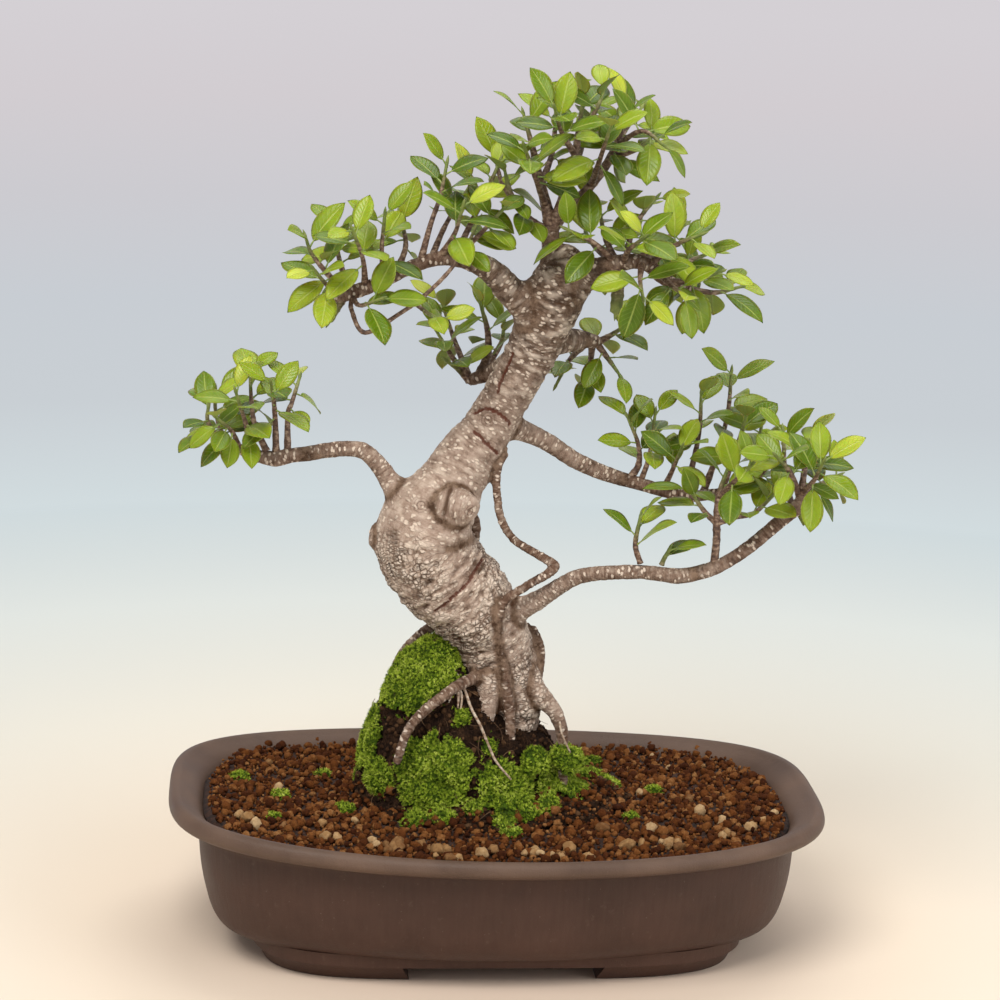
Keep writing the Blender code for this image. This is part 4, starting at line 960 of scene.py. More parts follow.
chosen = rng.choice(len(peat_spots), FIBRES, replace=False)
strands = [fibre_route(peat_spots[k], peat_normals[k], rng) for k in chosen]
straw = Paint("straw", Roughness=0.8, Specular_IOR_Level=0.25)
straw.shades(
    straw.noise(9.0), (0.35, (0.055, 0.026, 0.013)), (0.65, (0.21, 0.12, 0.06)),
)
declare(joined_tubes("peat_fibres", strands, 4), straw, "peat")
root_skin = Paint("root_skin", Roughness=0.7, Specular_IOR_Level=0.3)
root_skin.shades(
    root_skin.noise((2.5, 2.5, 1.5), detail=4.0),
    (0.34, (0.19, 0.105, 0.062)), (0.5, (0.4, 0.29, 0.205)), (0.66, (0.62, 0.52, 0.41)),
)
root_skin.bump(root_skin.noise(1.0, detail=3.0), 0.3)
rootlets = joined_tubes("rootlets", [smooth_route(route, 5) for route in ROOTLETS], 8)
declare(rootlets, root_skin, "bark")

# %% [markdown]
# ## Moss cushions
# Moss grows on the mound in soft, bright cushions, and smaller pads of it creep over the apron and
# the soil. Each one is a dome that follows the ground, covered with thousands of tiny shoots that
# stand up and spread like stars. The large cushions are patches of the mound's own surface,
# lifted and domed, and the small pads are flattened balls. Hair would be the usual way to cover
# them, but hair curves stay behind when a model is passed on, so every shoot is a few real
# triangles.

# %%
# The solid that a cushion stands for, its middle in plan, its reach and its thickness
CUSHIONS = {
    "moss_upper": ((-46, -9), 24, 5.0),
    "moss_left": ((-68, 4), 18, 3.5),
    "moss_front_left": ((-36, -35), 20, 4.5),
    "moss_front": ((3, -35), 16, 5.0),
    "moss_right": ((30, -14), 16, 4.5),
    "moss_back": ((-14, 46), 26, 4.0),
}
# Pads on the mound and on the soil: middle in plan, reach and thickness
PADS_ON_MOUND = [
    ((-64, -19), 9, 4.0), ((-46, -44), 7, 3.0), ((-31, -45), 6, 2.5), ((-13, -42), 6, 3.0),
    ((1, -51), 7, 2.5), ((14, -46), 6, 2.5), ((25, -37), 6, 3.0), ((43, -12), 6, 2.5),
    ((46, 8), 7, 3.0), ((57, 18), 7, 2.5), ((64, 12), 5, 2.0), ((-21, -28), 4, 2.5),
    ((-70, 26), 8, 3.0), ((-6, -29), 4, 2.0),
    ((-52, 36), 11, 4.0), ((8, 52), 10, 3.5), ((34, 40), 11, 4.0), ((-34, 56), 8, 3.0),
    ((20, 58), 6, 2.5), ((-18, 22), 9, 3.5), ((16, 28), 8, 3.0), ((50, 34), 7, 2.5),
]
PADS_ON_SOIL = [
    ((-138, 24), 5, 2.5), ((-116, -6), 4, 2.0), ((-120, -42), 3.5, 2.0), ((-82, -26), 5, 2.5),
    ((4, -60), 5, 2.0), ((70, -34), 3.5, 2.0), ((88, 10), 4, 2.0), ((-92, 36), 4, 2.0),
    ((60, 66), 5, 2.0),
]
# Pads at the feet of two front roots: middle, the way each bulges, reach and thickness
PADS_AT_ROOTS = [
    ((37, -19, 102), (0.3, -0.7, 0.6), 8, 4.0),
    ((18, -30, 104), (0.1, -0.8, 0.5), 7, 3.5),
]
SHOOT_HEIGHT, SHOOT_SPREAD, SHOOTS_PER_AREA = 1.5, 0.95, 1.35
SHOOT_LEAFLETS, LEAFLET_HALF_WIDTH = 5, 0.27
CUSHION_LIFT = 0.2  # the least height of a cushion above the peat


def lifted_patch(name, middle, reach, thickness):
    """A piece of the mound's surface near a point, domed upwards, with a ragged edge"""
    centre = ground(*middle)
    spots, normals = spots_of(mound), spots_of(mound, "normal")
    near = norm(spots - centre, axis=1) < reach * 1.3
    place, points, faces = {}, [], []
    for face in mound.data.polygons:
        if not near[list(face.vertices)].all():
            continue
        spot = Vector(spots[list(face.vertices)].mean(axis=0))
        ragged = reach * (1.02 + 0.3 * noise.noise(spot / 5))
        if (spot - centre).length > ragged or spot.z < soil_height(spot.x, spot.y):
            continue
        corners = []
        for index in face.vertices:
            if index not in place:
                place[index] = len(points)
                corner = Vector(spots[index])
                dome = max(0.0, 1 - ((corner - centre).length / (reach * 1.12)) ** 2)
                swell = thickness * math.sqrt(dome) * (0.85 + 0.4 * noise.noise(corner / 6))
                points.append(corner + Vector(normals[index]) * (swell + CUSHION_LIFT))
            corners.append(place[index])
        faces.append(tuple(corners))
    return mesh_object(name, points, faces)


def moss_pad(spot, out, reach, thickness):
    """Points of a flattened, dented ball that bulges out of the ground"""
    points, _ = ball(3)
    side = out.orthogonal().normalized()
    other = out.cross(side)
    placed = []
    for point in points:
        dent = 1 + 0.45 * noise.noise(Vector(point) * 1.3 + spot / 9)
        flat = side * point[0] * reach * dent + other * point[1] * reach * dent
        placed.append(spot + flat + out * point[2] * thickness * dent)
    return placed


def uphill(x, y):
    """Normal of the mound at a place"""
    ahead, beside = ground(x + 2, y) - ground(x - 2, y), ground(x, y + 2) - ground(x, y - 2)
    return ahead.cross(beside).normalized()


def scatter_shoots(name, spots, normals, rng):
    """A mesh of many moss shoots, each a star of narrow leaflets with a tone of its own"""
    leaflets, count = SHOOT_LEAFLETS, len(spots)
    upright = normals * 0.75 + np.array((0.0, 0.0, 0.35))
    upright /= norm(upright, axis=1)[:, None]
    helper = np.where(np.abs(upright[:, 2:3]) < 0.9, [[0.0, 0.0, 1.0]], [[1.0, 0.0, 0.0]])
    side = np.cross(upright, helper)
    side /= norm(side, axis=1)[:, None]
    other = np.cross(upright, side)
    tall = SHOOT_HEIGHT * rng.uniform(0.6, 1.3, (count, 1))
    start = rng.uniform(0, 2 * math.pi, count)
    points = np.empty((count, leaflets, 3, 3))
    for k in range(leaflets):
        angle = start + 2 * math.pi * k / leaflets
        out = side * np.cos(angle)[:, None] + other * np.sin(angle)[:, None]
        wide = side * -np.sin(angle)[:, None] + other * np.cos(angle)[:, None]
        spread = SHOOT_SPREAD * rng.uniform(0.6, 1.2, (count, 1))
        base = spots + upright * tall * 0.1 * k
        points[:, k, 0] = base - wide * LEAFLET_HALF_WIDTH * spread
        points[:, k, 1] = base + wide * LEAFLET_HALF_WIDTH * spread
        points[:, k, 2] = base + out * spread + upright * tall * rng.uniform(0.5, 1.0, (count, 1))
    tones_and_shade = np.repeat(rng.uniform(0, 1, count), leaflets * 3)
    # Each leaflet is painted darker at its foot and lighter at its tip: painted shade and painted light.
    tones_and_shade += np.tile([-0.3, -0.3, 0.3], count * leaflets)
    faces = np.arange(count * leaflets * 3).reshape(-1, 3).tolist()
    shoots = mesh_object(name, points.reshape(-1, 3), faces)
    store(shoots, "tone", tones_and_shade)
    return shoots


print("cushions:", len(CUSHIONS), "pads:", len(PADS_ON_MOUND + PADS_ON_SOIL + PADS_AT_ROOTS))

# %% [markdown]
# ## Moss colour
# Under the shoots the moss ground is dark, as painted shade under the shoots. The shoots are
# painted darker at the foot, as painted shade where they shade one another, and lighter at the
# tip, as painted light, and patches of about a centimetre are yellower than the rest. Each point
# keeps a tone for the first of these, and noise gives the second.

# %%
moss = Paint("moss", Roughness=0.75, Specular_IOR_Level=0.25)
patches = moss.times(moss.math("SUBTRACT", moss.noise(11.0, detail=3.0), 0.5), 1.8)
moss.shades(
    moss.mean(moss.read("tone"), moss.plus(patches, 0.56)),
    (0.12, (0.012, 0.024, 0.001)), (0.36, (0.08, 0.14, 0.004)), (0.53, (0.22, 0.32, 0.012)),
    (0.7, (0.42, 0.52, 0.04)), (0.9, (0.62, 0.68, 0.14)),
)
# The dark ground under the shoots is painted shade.
moss_ground_shade = Paint("moss_ground_shade", Roughness=1.0, Specular_IOR_Level=0.1)
moss_ground_shade.shades(
    moss_ground_shade.noise(1.5, detail=4.0), (0.3, (0.016, 0.026, 0.003)), (0.6, (0.06, 0.11, 0.008)),
)
moss_ground_shade.bump(moss_ground_shade.noise(0.9, detail=3.0), 0.8)
for node, (middle, reach, thickness) in CUSHIONS.items():
    cushion = lifted_patch(node + "_cushion", middle, reach, thickness)
    declare(cushion, moss_ground_shade, "moss", node)
    shoots = scatter_shoots(node + "_shoots", *surface_spots(cushion, SHOOTS_PER_AREA, rng), rng)
    declare(shoots, moss, "moss", node)

# %% [markdown]
# ## Small pads of moss
# The pads are one mesh. Half of each lies under the ground, where no shoot would be seen, so only
# the places above the ground get shoots.

# %%
def above_ground(x, y, level):
    """Whether a spot lies above the soil and the mound, or hardly under them"""
    return level > fired(x, y, max(soil_height(x, y), mound_height(x, y)))[2] - 1


pads = [(ground(*middle), uphill(*middle), *size) for middle, *size in PADS_ON_MOUND]
for (x, y), *size in PADS_ON_SOIL:
    pads.append((Vector(fired(x, y, soil_height(x, y) + 0.6)), Vector((0, 0, 1)), *size))
for middle, out, *size in PADS_AT_ROOTS:
    pads.append((Vector(middle), Vector(out).normalized(), *size))
ball_points, ball_faces = ball(3)
pad_points, pad_faces = [], []
for number, pad in enumerate(pads):
    pad_points += moss_pad(*pad)
    pad_faces.append(ball_faces + number * len(ball_points))
moss_pads = mesh_object("moss_pads", pad_points, np.vstack(pad_faces).tolist())
pad_spots, pad_normals = surface_spots(moss_pads, SHOOTS_PER_AREA, rng)
outer = [above_ground(*spot) for spot in pad_spots]
declare(moss_pads, moss_ground_shade, "moss")
pad_shoots = scatter_shoots("moss_pad_shoots", pad_spots[outer], pad_normals[outer], rng)
declare(pad_shoots, moss, "moss")

# %% [markdown]
# ## Stray moss
# Between the cushions the moss thins out shoot by shoot. We spread shoots over the bare mound and
# keep each with a chance that falls with its distance from the nearest cushion.

# %%
STRAY_PER_AREA, STRAY_REACH = 0.5, 5.0
stray_spots, stray_normals = surface_spots(mound, STRAY_PER_AREA, rng)
edges_away = []
for middle, reach, _ in [*CUSHIONS.values(), *PADS_ON_MOUND]:
    edges_away.append(norm(stray_spots - ground(*middle), axis=1) - reach)
beyond = np.min(edges_away, axis=0)
patchy = np.array([noise.noise(Vector(spot) / 7) for spot in stray_spots])
chance = np.clip(1 - beyond / STRAY_REACH, 0, 1) * np.clip(0.15 + 1.8 * patchy, 0, 1)
above_soil = np.array([level > soil_height(x, y) for x, y, level in stray_spots])
kept = (rng.uniform(0, 1, len(stray_spots)) < chance) & above_soil
stray = scatter_shoots("stray_moss", stray_spots[kept], stray_normals[kept], rng)
declare(stray, moss, "moss")

# %% [markdown]
# ## Trunk, limbs and roots
# Trunk, limbs and roots are one grown piece of wood. Each stem is a route of points with a
# radius, from the place where it leaves the older wood to its end. The same routes shaped the
# solid model.

# %%
# Each point is X, Y, Z and the radius of the stem there
TRUNK = [
    (7, 3, 104, 15), (7, 2, 126, 18), (1, 2, 146, 20.5), (-5, 1, 164, 22.5), (-15, -2, 182, 24.5),
    (-30, -4, 198, 26.5), (-42, -5, 215, 26.5), (-39, -5, 230, 25.5), (-30, -2, 244, 20),
    (-21, 2, 260, 17), (-11, 4, 273, 15), (-2, 5, 289, 14), (7, 4, 306, 14), (15, 3, 322, 15),
    (20, 0, 337, 16), (25, -2, 351, 17), (28, -3, 364, 14.5), (23, -3, 372, 10),
]
LIMBS = {
    "left knob": [(-51, -4, 215, 11.5), (-62, -5, 219, 8), (-71, -5, 221, 6)],
    "right knob": [(-29, -23, 241, 11.5), (-21, -26, 240, 10), (-18, -29, 239, 7.5)],
    "left limb": [
        (-49, -4, 237, 10.5), (-59, -4, 248, 7), (-65, -5, 257, 5.7), (-74, -5, 266, 5),
        (-84, -5, 267, 4.8), (-94, -5, 266, 4.6), (-104, -5, 264, 4.5),
    ],
    "right low limb": [
        (0, -6, 172, 9.5), (10, -11, 182, 7), (20, -15, 189, 6), (30, -19, 197, 5), (40, -21, 203, 4.6),
        (56, -25, 206, 4.3), (74, -28, 207, 4.3), (89, -32, 206, 4.7), (98, -32, 207, 4.5),
    ],
    "right upper limb": [
        (1, 10, 278, 8.5), (13, 15, 273, 6.5), (25, 18, 267, 5.7), (38, 21, 258, 5.4),
        (52, 23, 251, 5.1), (66, 25, 246, 4.4),
    ],
    "upper left limb": [
        (17, -1, 333, 12.5), (8, -5, 345, 10), (0, -6, 352, 9), (-7, -7, 360, 8),
        (-16, -9, 366, 6.8), (-25, -10, 369, 6),
    ],
    "right mid limb": [
        (30, -5, 352, 12.5), (39, -9, 361, 9.3), (46, -13, 365, 7.3), (50, -14, 366, 6.3),
    ],
    "top limb": [(24, -3, 367, 10.4), (22, -3, 373, 7), (21, -3, 377, 5.8)],
    "back left limb": [(8, 13, 315, 7.4), (0, 24, 307, 6), (-7, 31, 301, 4.8)],
    "back right limb": [(21, 12, 323, 9.5), (34, 19, 322, 8), (41, 24, 322, 6.4)],
    "aerial root": [
        (0, 0, 265, 3.4), (-3, -3, 259, 2.6), (-4, -5, 250, 2.4), (-3, -7, 239, 2.3), (-1, -9, 230, 2.3),
        (5, -13, 221, 2.3), (15, -16, 215, 2.4), (23, -19, 211, 2.6), (27, -21, 208, 2.7),
        (22, -23, 204, 2.6), (15, -23, 200, 2.5), (7, -24, 195, 2.5), (1, -24, 191, 2.6),
        (-2, -23, 183, 2.5), (-3, -21, 173, 2.5), (-1, -19, 162, 2.6), (2, -18, 151, 2.8),
        (3, -18, 141, 3.1), (5, -19, 130, 3.1), (6, -21, 112, 2.7),
    ],
    "front left root": [
        (-3, -8, 153, 10.5), (-6, -13, 142, 7.5), (-7, -17, 130, 5.6), (-8, -20, 112, 4.6),
    ],
    "right root": [
        (9, 1, 151, 10.5), (16, -5, 141, 8), (23, -10, 134, 6.2), (30, -13, 126, 4.8),
        (34, -15, 115, 3.6), (34, -16, 103, 3),
    ],
    "right edge root": [(17, 5, 168, 3.4), (21, 3, 162, 2.7), (23, 2, 153, 2.6), (21, 0, 137, 2.6)],
    "waist root": [(-15, 23, 226, 4.3), (-12, 22, 219, 2.8), (-13, 20, 208, 2.8), (-9, 17, 194, 3.4)],
    "left mid root": [
        (-8, -10, 146, 4), (-20, -22, 145, 3.4), (-31, -30, 140, 3), (-42, -34, 132, 2.8),
        (-50, -38, 123, 2.6), (-56, -42, 106, 2.4),
    ],
    "left arched root": [
        (-26, 14, 172, 4), (-39, 15, 163, 3), (-48, 14, 155, 2.7), (-54, 13, 146, 2.3),
        (-58, 11, 134, 1.9),
    ],
}
# The right root goes on down, through its cushion of moss and into the mound
LIMBS["right root"] += [(35, -17, 92, 2.8), (35, -17, 81, 2.6)]
print("limbs and roots:", len(LIMBS))

# %% [markdown]
# ## Twigs and where they start
# The crown grows in separate sprays. Each starts at the cut end of a limb, with a stem and many
# side twigs, and each twig bears a few leaves near its end. The number behind each twig is how
# many leaves it bears. The same lists shaped the solid model, so the finer twigs lie in the same
# places.

# %%
SPRAYS = {
    "spray_left": (
        [(-104, -5, 264, 4.5), (-113, -5, 263, 4.5), (-120, -4, 261, 5), (-129, -3, 262, 3.7),
         (-137, -3, 265, 3.1), (-146, -1, 269, 2.6), (-153, 0, 274, 2.1)],
        [
            ([(-153, 0, 274, 1.6), (-156, 1, 281, 1.1), (-155, 0, 290, 0.8)], 7),
            ([(-143, -1, 267, 1.6), (-149, 11, 273, 1.2), (-152, 17, 283, 1.0), (-152, 19, 292, 0.8)], 6),
            ([(-134, -3, 264, 1.8), (-135, -9, 277, 1.3), (-141, -16, 298, 0.8)], 6),
            ([(-125, -4, 265, 2.0), (-131, -1, 278, 1.4), (-133, 3, 289, 1.1), (-134, 7, 306, 0.8)], 6),
            ([(-120, -4, 265, 2.0), (-121, -10, 288, 1.3), (-123, -22, 304, 0.8)], 6),
            ([(-114, -4, 265, 2.0), (-114, 0, 284, 1.4), (-112, 1, 290, 1.2), (-108, 13, 301, 0.8)], 5),
            ([(-139, -1, 266, 1.6), (-143, -18, 278, 1.1), (-151, -27, 287, 0.8)], 5),
        ],
    ),
    "spray_upper_left": (
        [(-25, -10, 369, 6), (-37, -11, 369, 4.3), (-50, -12, 365, 4), (-62, -13, 359, 4),
         (-75, -13, 353, 4.2), (-85, -13, 350, 4.7), (-92, -12, 348, 3.8), (-95, -12, 346, 3)],
        [
            ([(-85, -13, 350, 2.4), (-90, -13, 342, 2.2), (-93, -12, 336, 1.9)], 0),
            ([(-82, -15, 348, 1.4), (-82, -17, 342, 1.2), (-75, -20, 331, 1.2), (-57, -23, 342, 1.1),
              (-45, -22, 351, 1.1), (-33, -21, 363, 1.0), (-24, -20, 376, 0.9), (-18, -19, 389, 0.8)], 4),
            ([(-85, -13, 350, 2.0), (-96, -14, 362, 1.4), (-103, -15, 371, 1.0), (-106, -16, 379, 0.8)], 6),
            ([(-83, -13, 352, 2.0), (-88, -1, 365, 1.3), (-91, 6, 382, 0.8)], 6),
            ([(-75, -13, 353, 2.0), (-77, -24, 370, 1.2), (-83, -35, 386, 0.8)], 6),
            ([(-65, -13, 357, 2.0), (-67, -16, 373, 1.2), (-66, -21, 392, 0.8)], 6),
            ([(-89, -13, 349, 2.0), (-96, -24, 357, 1.1), (-102, -31, 365, 0.8)], 6),
            ([(-60, -13, 360, 2.0), (-54, -1, 374, 1.3), (-57, 11, 388, 0.8)], 5),
            ([(-47, -12, 366, 2.0), (-42, -11, 386, 1.4), (-37, -9, 401, 1.1), (-34, -7, 417, 0.8)], 6),
            ([(-37, -11, 369, 2.0), (-30, -24, 384, 1.2), (-27, -34, 399, 0.8)], 5),
            ([(-29, -11, 369, 2.0), (-21, -2, 385, 1.5), (-13, 1, 401, 1.2), (-6, 2, 418, 0.8)], 6),
            ([(-29, -11, 369, 2.0), (-17, -21, 383, 1.2), (-5, -28, 398, 0.8)], 5),
            ([(-42, -12, 367, 2.0), (-33, 7, 384, 1.3), (-20, 16, 404, 0.8)], 5),
            ([(-82, -14, 349, 1.6), (-78, -26, 346, 1.1), (-68, -36, 351, 0.8)], 4),
            ([(-50, -23, 347, 1.1), (-44, -26, 343, 1.0), (-37, -31, 339, 0.8)], 3),
        ],
    ),
    "spray_back_left": (
        [(-7, 31, 301, 4.8), (-12, 34, 299, 4.3), (-17, 38, 296, 3.3)],
        [
            ([(-12, 34, 299, 2.8), (-7, 39, 310, 2.1), (-7, 42, 323, 1.6), (-11, 43, 337, 0.8)], 5),
            ([(-15, 36, 297, 2.1), (-25, 36, 308, 1.4), (-35, 31, 324, 0.8)], 6),
            ([(-17, 38, 296, 1.6), (-23, 34, 303, 1.2), (-29, 31, 308, 1.0)], 0),
            ([(-11, 35, 299, 2.1), (1, 52, 314, 1.4), (3, 56, 324, 0.8)], 5),
            ([(-16, 37, 297, 2.1), (-24, 52, 316, 1.3), (-31, 59, 336, 0.8)], 6),
        ],
    ),
    "spray_back_right": (
        [(41, 24, 322, 6.4), (47, 26, 321, 4.8), (52, 29, 320, 3.3)],
        [
            ([(52, 29, 320, 2.1), (59, 29, 324, 1.4), (67, 28, 330, 0.8)], 5),
            ([(50, 28, 320, 2.1), (57, 29, 311, 1.4), (63, 25, 303, 0.8)], 5),
            ([(48, 26, 320, 2.1), (49, 40, 305, 1.4), (49, 46, 289, 0.8)], 5),
            ([(45, 25, 320, 2.1), (38, 45, 307, 1.3), (32, 50, 293, 0.8)], 5),
        ],
    ),
    "spray_apex": (
        [(21, -3, 377, 5.8), (21, -3, 382, 5.4), (21, -3, 387, 5.2)],
        [
            ([(20, -3, 382, 3.2), (11, -5, 388, 2.1), (4, -6, 395, 2.0), (-1, -8, 403, 1.6),
              (-4, -9, 414, 0.8)], 7),
            ([(21, -3, 384, 3.7), (19, -2, 394, 3.2), (15, 1, 409, 2.4), (11, 2, 425, 1.7),
              (6, 3, 442, 0.8)], 7),
            ([(21, -3, 383, 3.7), (26, -6, 397, 3.0), (29, -8, 410, 2.4), (32, -11, 424, 2.0),
              (33, -11, 434, 1.6), (35, -11, 452, 0.8)], 7),
            ([(21, -3, 383, 3.7), (27, -1, 391, 3.2), (35, -1, 399, 3.0), (42, 0, 407, 2.4),
              (50, 1, 418, 2.2), (55, 1, 429, 1.7), (59, 1, 448, 0.8)], 7),
            ([(52, 1, 421, 1.7), (64, -4, 426, 1.3), (72, -6, 433, 0.8)], 7),
            ([(16, 1, 407, 2.0), (23, 18, 423, 1.4), (25, 26, 447, 0.8)], 7),
            ([(32, -11, 423, 2.0), (23, -26, 436, 1.2), (18, -38, 449, 0.8)], 6),
            ([(42, 0, 407, 2.0), (43, -24, 422, 1.3), (46, -42, 441, 0.8)], 7),
            ([(49, 1, 417, 2.0), (58, 19, 429, 1.4), (70, 30, 444, 0.8)], 7),
            ([(18, -2, 396, 2.0), (10, -23, 414, 1.3), (3, -38, 430, 0.8)], 7),
            ([(55, 1, 428, 1.6), (65, -19, 437, 1.1), (75, -32, 431, 0.8)], 6),
            ([(34, -11, 434, 1.6), (41, -18, 447, 1.1), (45, -16, 457, 0.8)], 6),
            ([(30, -9, 411, 2.0), (38, 19, 423, 1.4), (45, 36, 442, 0.8)], 7),
            ([(3, -6, 396, 1.7), (-4, 14, 407, 1.2), (-7, 25, 421, 0.8)], 6),
        ],
    ),
    "spray_right_mid": (
        [(50, -14, 366, 6.3), (57, -17, 369, 5.2), (64, -19, 370, 4.6), (71, -20, 368, 4.1),
         (79, -21, 361, 3.6), (93, -20, 356, 2.6)],
        [
            ([(54, -17, 366, 3.6), (55, -21, 355, 3.4), (54, -23, 344, 3.1)], 0),
            ([(55, -16, 368, 2.0), (41, -23, 380, 1.3), (27, -28, 387, 0.8)], 5),
            ([(55, -16, 368, 2.0), (49, -8, 381, 1.4), (46, -2, 396, 0.8)], 5),
            ([(59, -17, 369, 2.0), (62, -13, 383, 1.4), (67, -10, 392, 1.2), (75, -6, 401, 0.8)], 6),
            ([(64, -19, 370, 2.0), (79, -3, 378, 1.4), (93, 8, 386, 0.8)], 6),
            ([(71, -20, 368, 2.0), (82, -27, 379, 1.3), (95, -34, 386, 0.8)], 6),
            ([(78, -21, 362, 2.0), (93, -10, 369, 1.4), (105, -5, 373, 0.8)], 6),
            ([(81, -21, 360, 2.0), (94, -26, 361, 1.2), (106, -28, 366, 0.8)], 6),
            ([(93, -20, 356, 1.6), (107, -17, 354, 1.2), (119, -17, 357, 0.8)], 7),
            ([(67, -21, 369, 2.0), (64, -40, 363, 1.2), (64, -54, 356, 0.8)], 5),
            ([(75, -21, 365, 2.0), (81, -41, 360, 1.2), (88, -54, 356, 0.8)], 5),
            ([(58, -18, 369, 2.0), (58, -37, 378, 1.3), (64, -54, 387, 0.8)], 6),
            ([(67, -19, 370, 2.0), (76, 8, 369, 1.3), (87, 27, 365, 0.8)], 6),
            ([(55, -15, 368, 2.0), (47, 8, 372, 1.3), (43, 27, 378, 0.8)], 6),
        ],
    ),
    "spray_right_upper": (
        [(66, 25, 246, 4.4), (79, 22, 243, 4), (92, 18, 240, 3.8), (104, 15, 239, 3.5),
         (117, 12, 241, 3.2), (127, 9, 242, 2.7)],
        [
            ([(70, 24, 246, 2.1), (75, 24, 254, 1.7), (74, 22, 266, 1.2), (68, 20, 280, 0.8)], 6),
            ([(76, 23, 244, 1.7), (80, 19, 260, 1.2), (82, 17, 283, 0.8)], 5),
            ([(88, 20, 241, 1.8), (91, 8, 254, 1.3), (94, -4, 269, 0.8)], 5),
            ([(100, 17, 240, 2.1), (105, 19, 263, 1.4), (107, 21, 277, 1.2), (107, 21, 293, 0.8)], 6),
            ([(109, 15, 240, 2.1), (118, 24, 262, 1.4), (123, 28, 283, 1.2), (124, 28, 304, 0.8)], 7),
            ([(118, 12, 241, 2.1), (124, 6, 264, 1.4), (128, -1, 285, 0.8)], 6),
            ([(127, 9, 242, 2.1), (136, 14, 259, 1.4), (140, 17, 279, 0.8)], 7),
            ([(126, 10, 242, 1.6), (136, 1, 252, 1.3), (144, -8, 266, 0.8)], 5),
        ],
    ),
    "spray_right_low": (
        [(98, -32, 207, 4.5), (109, -34, 211, 4.5), (119, -36, 217, 4), (129, -37, 225, 4),
         (139, -37, 234, 4), (148, -37, 242, 4.3), (154, -37, 247, 4.8), (153, -37, 254, 3.2)],
        [
            ([(109, -34, 212, 2.2), (110, -33, 226, 2.0), (110, -31, 236, 2.0), (111, -29, 249, 1.6),
              (115, -28, 263, 0.8)], 5),
            ([(110, -31, 234, 1.6), (103, -29, 241, 1.3), (96, -26, 251, 0.8)], 4),
            ([(110, -31, 234, 1.6), (119, -33, 238, 1.4), (129, -35, 241, 1.2), (139, -38, 252, 0.8)], 5),
            ([(153, -37, 253, 2.0), (155, -33, 265, 1.4), (159, -29, 281, 0.8)], 7),
            ([(152, -37, 251, 2.0), (144, -50, 266, 1.3), (135, -59, 276, 0.8)], 6),
            ([(154, -37, 250, 2.0), (164, -29, 255, 1.4), (174, -25, 259, 0.8)], 5),
            ([(153, -37, 252, 2.0), (156, -55, 263, 1.2), (158, -67, 275, 0.8)], 5),
            ([(111, -29, 248, 1.6), (117, -46, 261, 1.2), (123, -56, 271, 0.8)], 5),
            ([(149, -37, 243, 2.0), (148, -18, 255, 1.4), (147, -8, 279, 0.8)], 6),
        ],
    ),
}
# Pruning keeps each spray inside a pad: from and to along X, and from and to in height
PADS = {
    "spray_left": (-172, -94, 256, 318),
    "spray_upper_left": (-120, 12, 329, 436),
    "spray_back_left": (-49, 12, 296, 352),
    "spray_back_right": (22, 76, 284, 342),
    "spray_apex": (-22, 92, 378, 471),
    "spray_right_mid": (0, 135, 330, 408),
    "spray_right_upper": (45, 152, 222, 326),
    "spray_right_low": (60, 182, 222, 304),
    "shoot_right_low": (50, 90, 208, 252),
    "sprout_right_low": (70, 106, 208, 232),
}
SHOOTS = {
    "shoot_right_low": ([(71, -28, 211.8, 1.6), (68, -28, 222, 1.4), (70, -28, 236, 0.9)], 4),
    "sprout_right_low": ([(82, -30, 211.7, 1.4), (83, -31, 215, 1.2), (85, -33, 220, 0.9)], 2),
}
print("sprays:", len(SPRAYS), "twigs:", sum(len(twigs) for _, twigs in SPRAYS.values()))

# %% [markdown]
# ## One skin over all stems
# A tube follows each route. Tubes that merely cross show hard seams, so we join them and let a
# voxel remesh lay one skin over all, which is then smoothed. The stem of each spray starts a few
# millimetres inside its limb, so that the two grow together.

# %%
BARK_VOXEL, BARK_SMOOTHING = 1.12, 5
STEM_START = 4.0  # how far inside its limb a spray's stem begins
TRUNK_SIDES, LIMB_SIDES, STEM_SIDES = 40, 20, 14


def from_inside(stem):
    """The route of a spray's stem, begun inside the limb"""
    first, second = np.array(stem[0], float), np.array(stem[1], float)
    inward = first.copy()
    inward[:3] -= unit(second[:3] - first[:3]) * STEM_START
    return [inward, *smooth_route(stem, 4)]


stems = [from_inside(stem) for stem, _ in SPRAYS.values()]
tubes = [rings_mesh("stem", tube_rings(smooth_route(TRUNK, 5), TRUNK_SIDES))]
for route in LIMBS.values():
    tubes.append(rings_mesh("stem", tube_rings(smooth_route(route, 4), LIMB_SIDES)))
tubes += [rings_mesh("stem", tube_rings(route, STEM_SIDES)) for route in stems]
wood = tubes[0]
wood.name = "wood_skin"
with bpy.context.temp_override(active_object=wood, selected_editable_objects=tubes):
    bpy.ops.object.join()
new_skin(wood, BARK_VOXEL, BARK_SMOOTHING)
print("skin of", len(wood.data.vertices), "points")

# %% [markdown]
# ## Bark that runs along the stems
# Lenticels, the pale pores of fig bark, are short dashes that lie across the stem. To draw them we
# need to know, for each point of the skin, how far along its stem it lies and on which side. We
# find the nearest station of the nearest stem and keep three numbers per point, as a small
# coordinate system that is wrapped round the wood. On the way we let the wood fill its forks, as
# a living stem does: each point there moves towards the middle of its neighbours, many times.

# %%
STEM_APART = 400.0  # the length that each stem is given in the wrapped coordinates
FORK_ROUNDS, FORK_PULL = 36, 0.6
BLOCK = 4000  # points that are measured at a time, to save memory

stations = []
stem_start = 0.0
for route in [smooth_route(TRUNK, 8)] + [smooth_route(route, 6) for route in LIMBS.values()] + stems:
    run = stem_start
    last = None
    for centre, radius, ahead, across, other in frames(route):
        run += norm(centre - last) if last is not None else 0.0
        last = centre
        stations.append((*centre, radius, *ahead, *across, *other, run))
    stem_start += STEM_APART
stations = np.array(stations)


